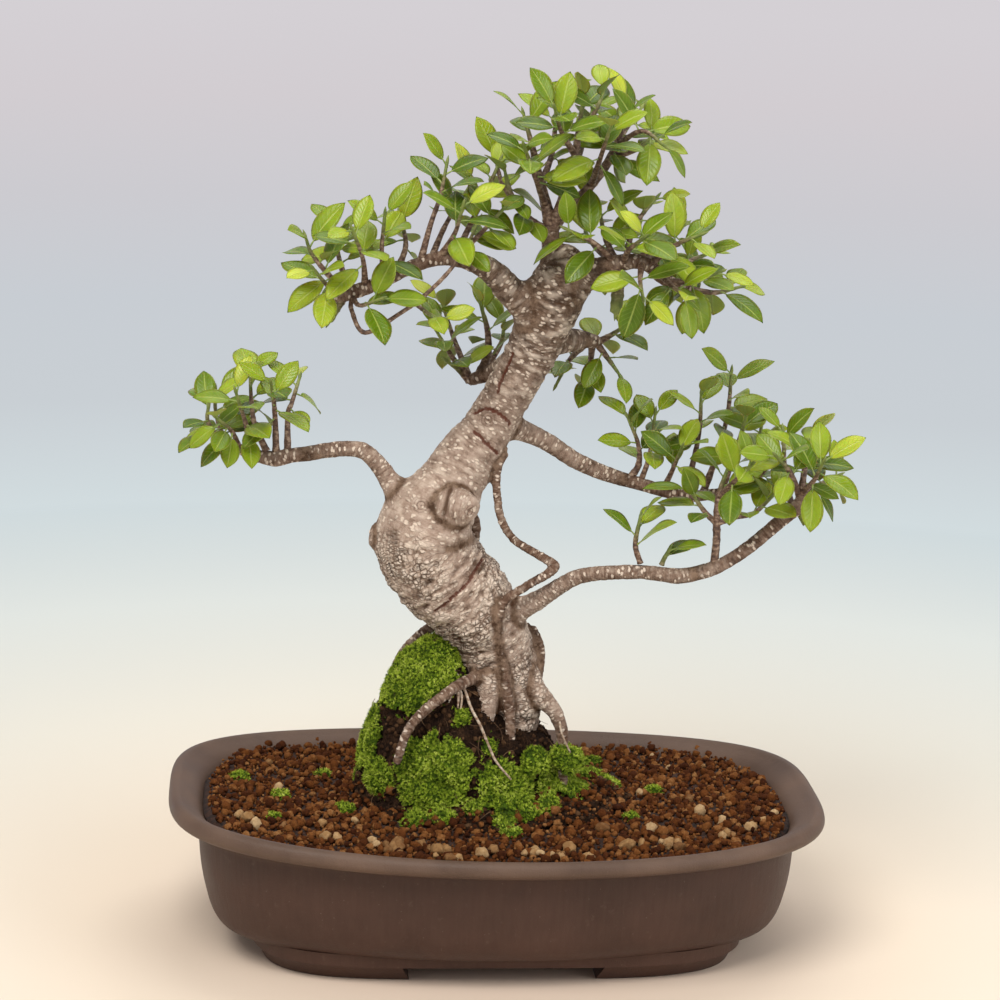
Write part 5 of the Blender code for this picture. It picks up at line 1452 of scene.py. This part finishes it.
def edge_ends(piece):
    """Numbers of the two points of every edge"""
    ends = np.empty(len(piece.data.edges) * 2, int)
    piece.data.edges.foreach_get("vertices", ends)
    return ends.reshape(-1, 2).T


def melt_forks(piece, share, rounds):
    """Lets wood fill its forks, and tells how far each point moved outwards"""
    first, second = edge_ends(piece)
    before, outwards = spots_of(piece), spots_of(piece, "normal")
    spots = before.copy()
    size = len(spots)
    beside = np.bincount(first, minlength=size) + np.bincount(second, minlength=size)
    for _ in range(rounds):
        for axis in range(3):
            values = spots[:, axis]
            total = np.bincount(first, values[second], size)
            total += np.bincount(second, values[first], size)
            spots[:, axis] = values + FORK_PULL * share * (total / beside - values)
    piece.data.vertices.foreach_set("co", ((spots + (ORIGIN_SHIFT, 0, 0)) * MM).ravel())
    piece.data.update()
    return ((spots - before) * outwards).sum(axis=1)


skin_spots = spots_of(wood)
nearest = np.empty(len(skin_spots), int)
for start in range(0, len(skin_spots), BLOCK):
    block = skin_spots[start:start + BLOCK]
    gaps = norm(block[:, None, :] - stations[None, :, :3], axis=2) - stations[None, :, 3]
    nearest[start:start + BLOCK] = gaps.argmin(axis=1)
near = stations[nearest]
stem_radius = near[:, 3]
filled = melt_forks(wood, np.clip((stem_radius - 3.0) / 4.0, 0, 1), FORK_ROUNDS)
skin_spots = spots_of(wood)
offset = skin_spots - near[:, :3]
along = (offset * near[:, 4:7]).sum(axis=1) + near[:, 13]
wrapped = np.column_stack([
    (offset * near[:, 7:10]).sum(axis=1), (offset * near[:, 10:13]).sum(axis=1), along,
])
print("stations:", len(stations), "most that a fork gained, in mm:", filled.max().round(1))

# %% [markdown]
# ## Marks on the bark
# The lower trunk is pebbled, except in a few smooth patches. Each crack is a route, and each scar
# a point with a radius. We snap them to the nearest point of the skin, so that they lie in the
# bark even where the smoothing moved it, and keep for every point how far away they are. Where
# two stems meet, the wrapped coordinates jump, and a seam value tells the material to leave its
# pattern out there.

# %%
# Open cracks of the trunk as X, Y, Z, and scars of cut branches with their radius
CRACKS = [
    [(-17, -9, 278), (-13, -11, 275), (-9, -11, 271), (-2, -8, 265)],
    [(-19, -4, 288), (-14, -7, 290), (-7, -9, 289), (-1, -8, 285), (3, -7, 281)],
    [(-36, -26, 185), (-30, -30, 190), (-24, -30, 196), (-19, -29, 200)],
    [(-19, -26, 201), (-15, -23, 206), (-10, -15, 211)],
    [(0, -8, 320), (-2, -8, 313), (-5, -8, 306), (-6, -9, 299)],
]
SCARS = [
    (-10, -9, 284, 4.2), (-45, -26, 242, 4.6), (-19, -27, 205, 3.2), (-62, -6, 221, 3.4),
    (-21, -28, 240, 4.0),
]
# Places of the old trunk where the bark stayed smooth, each with its reach
SMOOTH_PATCHES = [(-22, -28, 202, 17), (9, -18, 168, 14), (-30, -30, 228, 14)]
JUMP_FROM, SEAM_ROUNDS, SEAM_FADE = 8.0, 6, 0.78
FAR_AWAY = 20.0

age = np.clip((stem_radius - 3.0) / 9.0, 0, 1)
pebbled = np.clip((236 - skin_spots[:, 2]) / 26, 0.12, 1) * np.clip((stem_radius - 3.5) / 6, 0, 1)
for x, y, z, reach in SMOOTH_PATCHES:
    smooth = np.exp(-(norm(skin_spots - (x, y, z), axis=1) / reach) ** 4)
    pebbled *= 1 - 0.75 * smooth
pebbled *= [limited(0.85 + 1.3 * noise.noise(Vector(spot) / 15), 0.35) for spot in skin_spots]


def from_skin(point):
    """Distances of all skin points from the skin point nearest to a place"""
    nearest_skin = skin_spots[norm(skin_spots - point, axis=1).argmin()]
    return norm(skin_spots - nearest_skin, axis=1)


def beside_jumps(piece, values, rounds):
    """From 0 to 1, how near each point lies to an edge over which the values jump"""
    first, second = edge_ends(piece)
    jumps = norm(values[first] - values[second], axis=1) > JUMP_FROM
    seam = np.zeros(len(values))
    seam[first[jumps]] = seam[second[jumps]] = 1.0
    for _ in range(rounds):
        wider = seam.copy()
        np.maximum.at(wider, first, seam[second] * SEAM_FADE)
        np.maximum.at(wider, second, seam[first] * SEAM_FADE)
        seam = wider
    return seam


crack = np.full(len(skin_spots), FAR_AWAY)
scar = np.full(len(skin_spots), FAR_AWAY)
for route in CRACKS:
    for x, y, z in smooth_route(route, 10):
        crack = np.minimum(crack, from_skin((x, y, z)))
for x, y, z, reach in SCARS:
    scar = np.minimum(scar, from_skin((x, y, z)) / reach)
seam = beside_jumps(wood, wrapped, SEAM_ROUNDS)
kept_values = {
    "wrapped": wrapped, "age": age, "pebbled": pebbled, "crack": crack, "scar": scar, "seam": seam,
}
for name, values in kept_values.items():
    store(wood, name, values)
print("points in cracks:", int((crack < 1.2).sum()), "points in scars:", int((scar < 1).sum()))

# %% [markdown]
# ## Relief of the bark
# The skin itself carries what one sees in the outline: folds round the stem, wrinkles and knobs on
# old bark, rings round the thin roots, a groove along each crack and a rim round each scar. Finer
# relief is left to the material.

# %%
ROUGH_BARK_FROM, ROUGH_BARK_SPAN = 3.5, 8.0  # stems of a smaller radius stay smooth
FOLD_HEIGHT, LUMP_HEIGHT, BARK_SUNK = 1.3, 1.0, 0.8
CALM_HEIGHT, CALM_REACH = 258.0, 42.0  # where the trunk's middle is smoother
ROOT_RING_HEIGHT, ROOT_RING_SPACING = 0.13, 3.4
CRACK_LIP, CRACK_LIP_AT, CRACK_DEPTH, CRACK_HALF_WIDTH = 0.35, 1.8, 1.1, 0.9
SCAR_RIM, SCAR_RIM_AT, SCAR_DEPTH = 0.7, 0.7, 0.9


def noise_across(spot, across, along):
    """Noise whose lumps measure this much across the stem and along it"""
    return noise.noise(Vector((spot[0] / across, spot[1] / across, spot[2] / along)))


def bark_folds(spot):
    """Folds that run round the stem, deeper on the old lower trunk"""
    depth = limited((330 - spot[2]) / 150, 0.25)
    lumps = noise.noise(Vector(spot) / 17)
    return depth * (FOLD_HEIGHT * noise_across(spot, 26, 6.5) + LUMP_HEIGHT * lumps)


def bark_wrinkles(spot, turned, knobbliness):
    """Wrinkles and knobs of old bark, shallower on the trunk's middle"""
    calm = math.exp(-((spot[2] - CALM_HEIGHT) / CALM_REACH) ** 4)
    wrinkle = noise_across(turned, 9, 2.8) * (0.9 + 0.4 * knobbliness)
    knobs = noise_across(turned, 2.9, 2.0) * (0.25 + 0.75 * knobbliness)
    return (1 - 0.5 * calm) * (wrinkle + knobs)


def root_rings(spot, turned):
    """Rings round a thin root, spaced unevenly"""
    drift = 2.0 * noise.noise(Vector(spot) / 9)
    return ROOT_RING_HEIGHT * math.cos(2 * math.pi * (turned[2] / ROOT_RING_SPACING + drift))


def bell(distance, middle, width):
    """A smooth rise of height 1 around a distance"""
    return np.exp(-((distance - middle) / width) ** 2)


roughness = np.clip((stem_radius - ROUGH_BARK_FROM) / ROUGH_BARK_SPAN, 0, 1)
broad, fine = np.zeros(len(skin_spots)), np.zeros(len(skin_spots))
for k, (spot, turned) in enumerate(zip(skin_spots, wrapped)):
    if roughness[k] > 0:
        broad[k] = roughness[k] * bark_folds(spot)
        fine[k] = roughness[k] * bark_wrinkles(spot, turned, pebbled[k])
    else:
        fine[k] = root_rings(spot, turned)
    fine[k] += 0.25 * noise_across(turned, 3.0, 1.8)
fine *= 1 - 0.7 * seam
cut = CRACK_LIP * bell(crack, CRACK_LIP_AT, CRACK_HALF_WIDTH)
cut -= CRACK_DEPTH * bell(crack, 0.0, CRACK_HALF_WIDTH)
cut += SCAR_RIM * bell(scar, SCAR_RIM_AT, 0.22) - SCAR_DEPTH * bell(scar, 0.0, 0.3)
push_out(wood, broad + fine + cut - BARK_SUNK * roughness)
# One share per point for painted shade in hollows and filled forks and painted light on raised relief
relief_shading = 0.5 - 0.45 * fine - 0.14 * broad + 0.4 * np.clip(filled - 0.15, 0, 2.0)
store(wood, "relief_shading", np.clip(relief_shading, 0, 1))
print("deepest and highest relief in mm:", (broad + fine).min().round(1), (broad + fine).max().round(1))

# %% [markdown]
# ## Bark colour
# The old trunk is pale and grey, its upper part darker and its youngest limbs dark brown. Grains
# of cork stand on the pebbled part with dark gaps between them, and pale pores lie across every
# stem. Cracks and the rings of scars are darker. Hollows and forks are painted darker, as painted
# shade, and raised relief is painted paler, as painted light. Each of these is one mix, laid over
# the one before it, and they all read the values that the skin's points keep.

# %%
PEBBLE, PORE = (2.9, 2.9, 2.0), (4.4, 4.4, 2.3)  # sizes across, across and along the stem

bark = Paint("bark", Roughness=0.75, Specular_IOR_Level=0.22)
wrap = bark.read("wrapped", "Vector")
bark_age, knobbly = bark.read("age"), bark.read("pebbled")
crack_gap, scar_gap, relief_shade = bark.read("crack"), bark.read("scar"), bark.read("relief_shading")
off_seam = bark.ramp(bark.read("seam"), (0.45, 1.0), (0.85, 0.0))
uneven = bark.noise(1.6, 2.0, wrap)
shake = bark.noise(4.0, 2.0, wrap, 0.5, output=1)
shaken = bark.vector("ADD", wrap, bark.vector("MULTIPLY", shake, (2.0, 2.0, 2.0)))
pebble, pebble_edge = bark.cells(PEBBLE, shaken), bark.cells(PEBBLE, shaken, "DISTANCE_TO_EDGE")
clear = bark.ramp(bark.noise((6.0, 6.0, 4.0), 2.0, wrap), (0.36, 0.15), (0.5, 1.0))
rough_share = bark.times(knobbly, clear)
pebble_top = bark.times(bark.ramp(pebble, (0.26, 1.0), (0.5, 0.0)), rough_share)
between = bark.times(bark.ramp(pebble_edge, (0.04, 1.0), (0.14, 0.0)), rough_share)
pore_choice = bark.ramp(bark.noise((9.0, 9.0, 5.0), 2.0, wrap), (0.32, 0.0), (0.42, 1.0))
pores = bark.times(bark.ramp(bark.cells(PORE, shaken), (0.25, 1.0), (0.37, 0.0)), pore_choice)
bands = bark.noise((11.0, 11.0, 1.3), 6.0, wrap, 0.7)
blotches = bark.noise(7.0, 7.0, None, 0.8)
grain = bark.plus(bark.times(bands, 0.4), bark.times(blotches, 0.6))
pale_bark = bark.ramp(
    grain,
    (0.36, (0.11, 0.062, 0.038)), (0.47, (0.35, 0.24, 0.178)), (0.62, (0.54, 0.41, 0.33)),
)
dark_bark = bark.ramp(
    grain,
    (0.38, (0.022, 0.009, 0.004)), (0.49, (0.09, 0.048, 0.027)), (0.62, (0.29, 0.185, 0.12)),
)
old_bark = bark.mix(bark.ramp(bark.height(500.0), (0.5, 0.0), (0.66, 0.9)), pale_bark, dark_bark)
young_bark = bark.ramp(
    grain,
    (0.38, (0.045, 0.02, 0.01)), (0.49, (0.135, 0.074, 0.047)), (0.62, (0.32, 0.215, 0.15)),
)
body = bark.mix(bark.ramp(bark_age, (0.1, 0.0), (0.45, 1.0)), young_bark, old_bark)
body = bark.mix(bark.times(knobbly, 0.4), body, (0.62, 0.48, 0.37))
# Raised relief painted paler: painted light.
body = bark.mix(bark.ramp(relief_shade, (0.24, 0.7), (0.5, 0.0)), body, (0.74, 0.6, 0.48))
body = bark.mix(bark.times(pebble_top, 0.9), body, (0.9, 0.75, 0.62))
body = bark.mix(bark.times(between, 0.75), body, (0.085, 0.036, 0.013))
body = bark.mix(bark.times(pores, 0.85), body, (0.8, 0.65, 0.52))
fork_bark = bark.ramp(blotches, (0.4, (0.05, 0.024, 0.012)), (0.58, (0.33, 0.22, 0.15)))
body = bark.mix(off_seam, fork_bark, body)
# Forks painted darker along the seams: painted shade.
fork_shade = bark.ramp(bark.read("seam"), (0.35, 0.0), (0.95, 0.35))
body = bark.mix(fork_shade, body, (0.06, 0.026, 0.01))
# Hollows and filled forks painted darker: painted shade.
body = bark.mix(bark.ramp(relief_shade, (0.56, 0.0), (0.86, 0.85)), body, (0.062, 0.024, 0.008))
furrow_reach = bark.plus(crack_gap, bark.times(uneven, 0.9))
furrow = bark.ramp(bark.math("DIVIDE", furrow_reach, 5.0), (0.22, 1.0), (0.34, 0.0))
body = bark.mix(bark.times(furrow, 0.9), body, (0.105, 0.026, 0.012))
rings = bark.math("SINE", bark.times(scar_gap, 16.0))
in_scar = bark.ramp(scar_gap, (0.8, 1.0), (1.0, 0.0))
ring_dark = bark.times(bark.ramp(rings, (0.3, 0.0), (0.8, 1.0)), in_scar)
body = bark.mix(bark.times(ring_dark, 0.6), body, (0.09, 0.045, 0.026))
bark.colour(body)
relief = bark.plus(pebble_top, bark.times(pores, 0.4))
relief = bark.math("SUBTRACT", relief, bark.times(between, 0.7))
relief = bark.plus(relief, bark.times(bands, 0.9))
relief = bark.times(relief, off_seam)
bark.bump(bark.plus(relief, bark.times(bark.noise(0.9, 4.0), 0.35)), 1.1)
declare(wood, bark, "bark", "wood")

# %% [markdown]
# ## Where the leaves grow
# Fig leaves stand in a spiral round the twig, a good third of a turn apart, lean away from it and
# turn their faces to the light. A leaf that has no room turns a little and tries again. This rule
# and its seeds are the same as in the solid model, so every leaf comes out where the solid model
# has it.

# %%
BLADE_LENGTH = 23.5
BLADE_WIDTH = 0.56  # of its length
BLADE_CURL = 0.16  # how much the edges rise, as a share of half the width
STALK_LENGTH = 4.0
INTERNODE = 4.8
GOLDEN_ANGLE = math.radians(137.5)
LEAF_CLEARANCE = 2.1
ROOT_CLEARANCE = 1.2
ROOM_BESIDE_LIMB = 1.5
ROOM_BESIDE_STEM = 1.0
ROOM_BESIDE_TWIG = 0.2
ALONG_SAMPLES = (0.12, 0.23, 0.34, 0.45, 0.56, 0.67, 0.78, 0.89, 1.0)
ACROSS_SAMPLES = (-1, -0.67, -0.33, 0, 0.33, 0.67, 1)
LIGHT = np.array((0.0, -0.55, 0.85))  # where the leaves turn their faces
LEAF_TRIES = 16
RISE = 0.12  # how much a leaf lifts its tip above the way its place on the twig points
SWAY = 0.6
LEANS = (30.0, 56.0)  # angle between twig and leaf for the leaf at the tip, in degrees
LEAN_STEP = 9.0  # and how much it opens from one leaf to the next
WIDEST_LEAN = 1.9
SIZES = (0.78, 1.08)
SHRINK = 0.985  # from one try to the next
YOUNGEST_SIZE = 0.85
DROOPS = (0.1, 0.34)
SPRAY_SEED, SHOOT_SEED = 100, 200


def walk_back(route, distance):
    """The point that lies this far before a route's end, and the route's direction there"""
    points = [np.array(point[:3], float) for point in route]
    for start, end in zip(reversed(points[:-1]), reversed(points[1:])):
        length = norm(end - start)
        ahead = (end - start) / length
        if distance <= length:
            return end - ahead * distance, ahead
        distance -= length
    return points[0], ahead


def leaf_axes(ahead, turn, lean, rng):
    """Direction of a leaf and the way its upper face looks"""
    side = unit(np.cross(ahead, (0.25, 0.1, 0.96)))
    other = np.cross(ahead, side)
    out = side * math.cos(turn) + other * math.sin(turn)
    direction = ahead * math.cos(lean) + out * math.sin(lean)
    direction[2] += RISE
    direction = unit(direction)
    sway = np.array([rng.random(), rng.random(), rng.random()]) - 0.5
    up = LIGHT + SWAY * sway - 0.2 * out
    return direction, unit(up - direction * (up @ direction))


def blade_point(leaf, along, across):
    """A point of the blade: along it from 0 at the stalk to 1 at the tip, across it from -1 to 1"""
    root, direction, face, length, droop = leaf
    side = np.cross(direction, face)
    half = 0.5 * BLADE_WIDTH * length * math.sin(math.pi * min(1.0, along) ** 0.85) ** 0.7
    lift = BLADE_CURL * abs(across) * half
    midrib = length * (direction * along - face * droop * along ** 2)
    start = root + direction * STALK_LENGTH
    return start + midrib + side * across * half + face * lift


def leaf_samples(leaf):
    """Points spread over a blade, by which its room is judged"""
    return np.array([
        blade_point(leaf, along, across)
        for along in ALONG_SAMPLES
        for across in ACROSS_SAMPLES
    ])


class Crowding:
    """Remembers what already takes up room, so that leaves grow clear of it"""

    def __init__(self):
        self.spots = np.empty((0, 3))
        self.sizes = np.empty(0)

    def add(self, spots, sizes):
        self.spots = np.vstack([self.spots, spots])
        self.sizes = np.concatenate([self.sizes, np.broadcast_to(sizes, len(spots))])

    def add_route(self, route, spare):
        for start, end in zip(route, route[1:]):
            start, end = np.array(start, float), np.array(end, float)
            count = max(2, int(norm(end[:3] - start[:3]) / 1.5))
            line = np.linspace(start, end, count)
            self.add(line[:, :3], line[:, 3] + spare)

    def room_for(self, samples, clearance):
        """Whether the samples of one leaf keep this far from everything that lies near"""
        middle = samples.mean(axis=0)
        reach = norm(samples - middle, axis=1).max() + clearance
        near = norm(self.spots - middle, axis=1) - self.sizes < reach
        if not near.any():
            return True
        gaps = norm(samples[:, None, :] - self.spots[None, near, :], axis=2)
        return (gaps - self.sizes[None, near]).min() > clearance


def in_pad(samples, pad):
    """Whether a leaf lies inside the box that its spray is pruned to"""
    left, right, low, high = pad
    inside = (samples[:, 0] > left) & (samples[:, 0] < right)
    return (inside & (samples[:, 2] > low) & (samples[:, 2] < high)).all()


def grow_leaves(route, count, pad, rng, crowd):
    """Leaves in a spiral down from a shoot's tip, each turned until it has room inside its pad"""
    leaves = []
    turn = rng.uniform(0, 2 * math.pi)
    for k in range(count):
        turn += GOLDEN_ANGLE
        spot, ahead = walk_back(route, 1.0 + INTERNODE * k)
        for attempt in range(LEAF_TRIES):
            lean = math.radians(rng.uniform(*LEANS) + LEAN_STEP * k + 2 * attempt)
            swing = turn + rng.uniform(-0.5, 0.5) * (1 + 0.35 * attempt)
            direction, face = leaf_axes(ahead, swing, min(lean, WIDEST_LEAN), rng)
            length = BLADE_LENGTH * rng.uniform(*SIZES) * SHRINK ** attempt
            if k == 0:
                length *= YOUNGEST_SIZE
            leaf = (spot, direction, face, length, rng.uniform(*DROOPS))
            samples = leaf_samples(leaf)
            first_row, others = np.split(samples, [len(ACROSS_SAMPLES)])
            free = crowd.room_for(others, LEAF_CLEARANCE) and crowd.room_for(first_row, ROOT_CLEARANCE)
            if free and in_pad(samples, pad):
                crowd.add(samples, 0.0)
                leaves.append(leaf)
                break
    return leaves


crowd = Crowding()
for route in [TRUNK, *LIMBS.values()]:
    crowd.add_route(route, ROOM_BESIDE_LIMB)
for stem, twigs in SPRAYS.values():
    crowd.add_route(stem, ROOM_BESIDE_STEM)
    for route, _ in twigs:
        crowd.add_route(route, ROOM_BESIDE_TWIG)
for route, _ in SHOOTS.values():
    crowd.add_route(route, ROOM_BESIDE_TWIG)
grown = {}
for number, (name, (stem, twigs)) in enumerate(SPRAYS.items()):
    seeded = random.Random(SPRAY_SEED + number)
    grown[name] = []
    for route, count in twigs:
        grown[name].append((route, grow_leaves(route, count, PADS[name], seeded, crowd)))
for number, (name, (route, count)) in enumerate(SHOOTS.items()):
    seeded = random.Random(SHOOT_SEED + number)
    grown[name] = [(route, grow_leaves(route, count, PADS[name], seeded, crowd))]
print("leaves:", sum(len(leaves) for shoots in grown.values() for _, leaves in shoots))

# %% [markdown]
# ## Twigs
# Fig twigs are green at the tip and turn brown and knotty with age, with a ring where each leaf
# once stood. A pointed bud closes the tip. We draw each twig as a smooth tube that swells at
# those rings, and paint it by age.

# %%
TWIG_SIDES, RING_SWELL = 10, 0.13
BUD = [(1.2, 0.95), (3.0, 0.7), (4.8, 0.12)]  # distance past the twig's end, and radius there


def twig_route(route):
    """A smooth route with rings, ending in a pointed bud"""
    smooth = smooth_route(route, 8)
    run = 0.0
    ringed = []
    for before, point in zip([smooth[0]] + smooth, smooth):
        run += norm(point[:3] - before[:3])
        swell = 1 + RING_SWELL * max(0.0, math.cos(2 * math.pi * run / INTERNODE)) ** 3
        ringed.append(np.array((*point[:3], point[3] * swell)))
    tip, ahead = ringed[-1], unit(ringed[-1][:3] - ringed[-2][:3])
    for reach, radius in BUD:
        ringed.append(np.array((*(tip[:3] + ahead * reach), radius)))
    return ringed


twig_bark = Paint("twig_bark", Roughness=0.6)
from_tip = twig_bark.math("DIVIDE", twig_bark.read("tip"), 30.0, clamp=True)
woody = twig_bark.ramp(
    twig_bark.noise((2.5, 2.5, 1.6), 4.0),
    (0.36, (0.06, 0.028, 0.016)), (0.5, (0.15, 0.08, 0.048)), (0.66, (0.36, 0.25, 0.17)),
)
fresh = twig_bark.ramp(twig_bark.noise(3.0), (0.35, (0.12, 0.16, 0.03)), (0.65, (0.23, 0.26, 0.06)))
twig_bark.colour(twig_bark.mix(twig_bark.ramp(from_tip, (0.25, 0.0), (0.6, 1.0)), fresh, woody))
twig_bark.bump(twig_bark.noise(1.1, 3.0), 0.25)
for name, shoots in grown.items():
    twigs = joined_tubes(name + "_twigs", [twig_route(route) for route, _ in shoots], TWIG_SIDES)
    declare(twigs, twig_bark, "bark", name)

# %% [markdown]
# ## Leaves
# A fig leaf is an oval with a drawn-out tip, folded a little along its midrib, and it arches down.
# The blade is thin and glossy, with a yellow edge and fine side veins. Each leaf is one closed
# shell, a grid of points for the upper face and one for the lower face, which share their edge.
# The grid's own coordinates, from stalk to tip and from edge to edge, are kept for the material to
# draw veins by.

# %%
LEAF_ROWS, LEAF_COLUMNS = 12, 6
LEAF_THICKNESS = 0.35
TIP_FROM, TIP_NARROWING = 0.78, 0.4  # the tip is drawn out over the blade's last part
FOLD_RISE, EDGE_CURL, EDGE_WAVE = 0.2, 0.05, 0.012
STALK_RADII, STALK_SIDES = (0.55, 0.5, 0.3), 6


def leaf_grid(leaf, lift):
    """Points of one face of a leaf, row by row from the stalk"""
    root, direction, face, length, droop = leaf
    side = np.cross(direction, face)
    t = np.linspace(0.0, 1.0, LEAF_ROWS + 1)[:, None]
    s = np.linspace(-1.0, 1.0, LEAF_COLUMNS + 1)[None, :]
    tip = np.clip((t - TIP_FROM) / 0.22, 0, 1)
    shape = np.sin(math.pi * t ** 1.02) ** 0.68 * (1 - TIP_NARROWING * tip ** 2)
    half = 0.5 * BLADE_WIDTH * length * shape * np.ones_like(s)
    wave = EDGE_WAVE * length * np.sin(9.0 * t + 40 * droop) * s ** 2
    rise = FOLD_RISE * np.abs(s) * half - EDGE_CURL * half * s ** 4 + wave
    rise = rise + lift * (1 - s ** 2) * np.sin(math.pi * t)
    start = root + direction * STALK_LENGTH
    along = direction * t[..., None] - face * (droop * t[..., None] ** 2)
    return start + length * along + side * (s * half)[..., None] + face * rise[..., None]


def leaf_shell(leaf):
    """Points and faces of a closed thin leaf"""
    upper = leaf_grid(leaf, 0.0).reshape(-1, 3)
    lower = leaf_grid(leaf, -LEAF_THICKNESS).reshape(-1, 3)
    width = LEAF_COLUMNS + 1
    inner = [row * width + column for row in range(1, LEAF_ROWS) for column in range(1, LEAF_COLUMNS)]
    below = {index: len(upper) + k for k, index in enumerate(inner)}
    faces = []
    for row in range(LEAF_ROWS):
        for column in range(LEAF_COLUMNS):
            a = row * width + column
            corners = (a, a + 1, a + 1 + width, a + width)
            faces.append(tuple(reversed(corners)))
            faces.append(tuple(below.get(corner, corner) for corner in corners))
    return np.vstack([upper, lower[inner]]), faces


def leaf_marks(tone):
    """Place along, place across and tone for each point of a leaf, and which face it is on"""
    rows, columns = np.linspace(0, 1, LEAF_ROWS + 1), np.linspace(-1, 1, LEAF_COLUMNS + 1)
    t, s = np.meshgrid(rows, columns, indexing="ij")
    upper = np.column_stack([t.ravel(), s.ravel(), np.full(t.size, tone)])
    lower = upper.reshape(LEAF_ROWS + 1, LEAF_COLUMNS + 1, 3)[1:-1, 1:-1].reshape(-1, 3)
    return np.vstack([upper, lower]), np.concatenate([np.zeros(len(upper)), np.ones(len(lower))])


def stalk_route(leaf):
    """A bent stalk from inside the twig to a little way along the midrib"""
    root, direction, face, _, _ = leaf
    middle = root + direction * STALK_LENGTH * 0.5 + face * 0.3
    places = (root - direction, middle, root + direction * (STALK_LENGTH + 2.0))
    return smooth_route([(*place, radius) for place, radius in zip(places, STALK_RADII)], 2)


print("grid of one leaf:", LEAF_ROWS, "by", LEAF_COLUMNS)

# %% [markdown]
# ## Leaf colour
# Young leaves are yellow green and old ones dark, so each leaf has a tone. The midrib, the side
# veins and the edge are drawn by where a point lies on its blade, and the underside is duller
# than the face.

# %%
VEINS_ALONG, VEIN_SLANT = 9.0, 2.2

blade = Paint("leaf_blade", Specular_IOR_Level=0.3, Subsurface_Weight=0.12, Subsurface_Scale=0.001)
marks = blade.node("SeparateXYZ", {0: blade.read("marks", "Vector")})
place_along, place_across, tone = marks.outputs["X"], marks.outputs["Y"], marks.outputs["Z"]
off_middle = blade.math("ABSOLUTE", place_across)
slant = blade.times(off_middle, VEIN_SLANT)
vein_wave = blade.math("SUBTRACT", blade.times(place_along, VEINS_ALONG), slant)
vein_line = blade.math("ABSOLUTE", blade.math("SUBTRACT", blade.math("FRACT", vein_wave), 0.5))
veins = blade.ramp(vein_line, (0.0, 1.0), (0.14, 0.0))
midrib = blade.ramp(off_middle, (0.03, 1.0), (0.11, 0.0))
margin = blade.ramp(off_middle, (0.86, 0.0), (0.97, 1.0))
green = blade.ramp(
    blade.plus(blade.times(tone, 0.75), blade.times(blade.noise(9.0), 0.35)),
    (0.15, (0.036, 0.076, 0.002)), (0.42, (0.115, 0.19, 0.004)), (0.68, (0.25, 0.335, 0.012)),
    (0.95, (0.47, 0.52, 0.045)),
)
green = blade.mix(blade.times(veins, 0.2), green, (0.3, 0.4, 0.06))
green = blade.mix(blade.times(midrib, 0.5), green, (0.46, 0.52, 0.11))
green = blade.mix(blade.times(margin, 0.75), green, (0.5, 0.55, 0.09))
green = blade.mix(blade.times(blade.read("under"), 0.55), green, (0.26, 0.33, 0.09))
blade.colour(green)
blade.roughness(blade.ramp(blade.read("under"), (0.0, 0.27), (1.0, 0.6)))
blade.bump(blade.plus(veins, blade.times(midrib, 2.0)), -0.12)
stalk_green = Paint("leaf_stalk", Roughness=0.45)
stalk_green.shades(
    stalk_green.noise(4.0), (0.35, (0.16, 0.24, 0.04)), (0.65, (0.3, 0.36, 0.09)),
)
print("leaf and stalk painted")

# %% [markdown]
# ## Every leaf in its place
# All leaves of a spray go into one mesh, and all their stalks into another. The leaf nearest to
# the tip of its twig is the youngest, so it gets a brighter tone than the rest.

# %%
TONE_SEED, TONES, YOUNG_TONE = 300, (0.1, 0.75), 0.25

for number, (name, shoots) in enumerate(grown.items()):
    seeded = random.Random(TONE_SEED + number)
    points, faces, marked, under, stalks = [], [], [], [], []
    count = 0
    for _, leaves in shoots:
        for order, leaf in enumerate(leaves):
            leaf_points, leaf_faces = leaf_shell(leaf)
            leaf_tone = seeded.uniform(*TONES) + (YOUNG_TONE if order == 0 else 0.0)
            leaf_values, leaf_under = leaf_marks(leaf_tone)
            points.append(leaf_points)
            faces += [tuple(corner + count for corner in face) for face in leaf_faces]
            marked.append(leaf_values)
            under.append(leaf_under)
            stalks.append(stalk_route(leaf))
            count += len(leaf_points)
    blades = mesh_object(name + "_leaves", np.vstack(points), faces)
    store(blades, "marks", np.vstack(marked))
    store(blades, "under", np.concatenate(under))
    declare(blades, blade, "leaf", name)
    stalk_tubes = joined_tubes(name + "_stalks", stalks, STALK_SIDES)
    declare(stalk_tubes, stalk_green, "leaf", name)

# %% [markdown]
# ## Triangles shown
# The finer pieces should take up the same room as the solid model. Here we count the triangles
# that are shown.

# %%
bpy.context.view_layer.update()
shown = [item for item in bpy.context.scene.objects if item.type == "MESH" and item is not floor]
print("triangles shown:", sum(len(face.vertices) - 2 for item in shown for face in item.data.polygons))
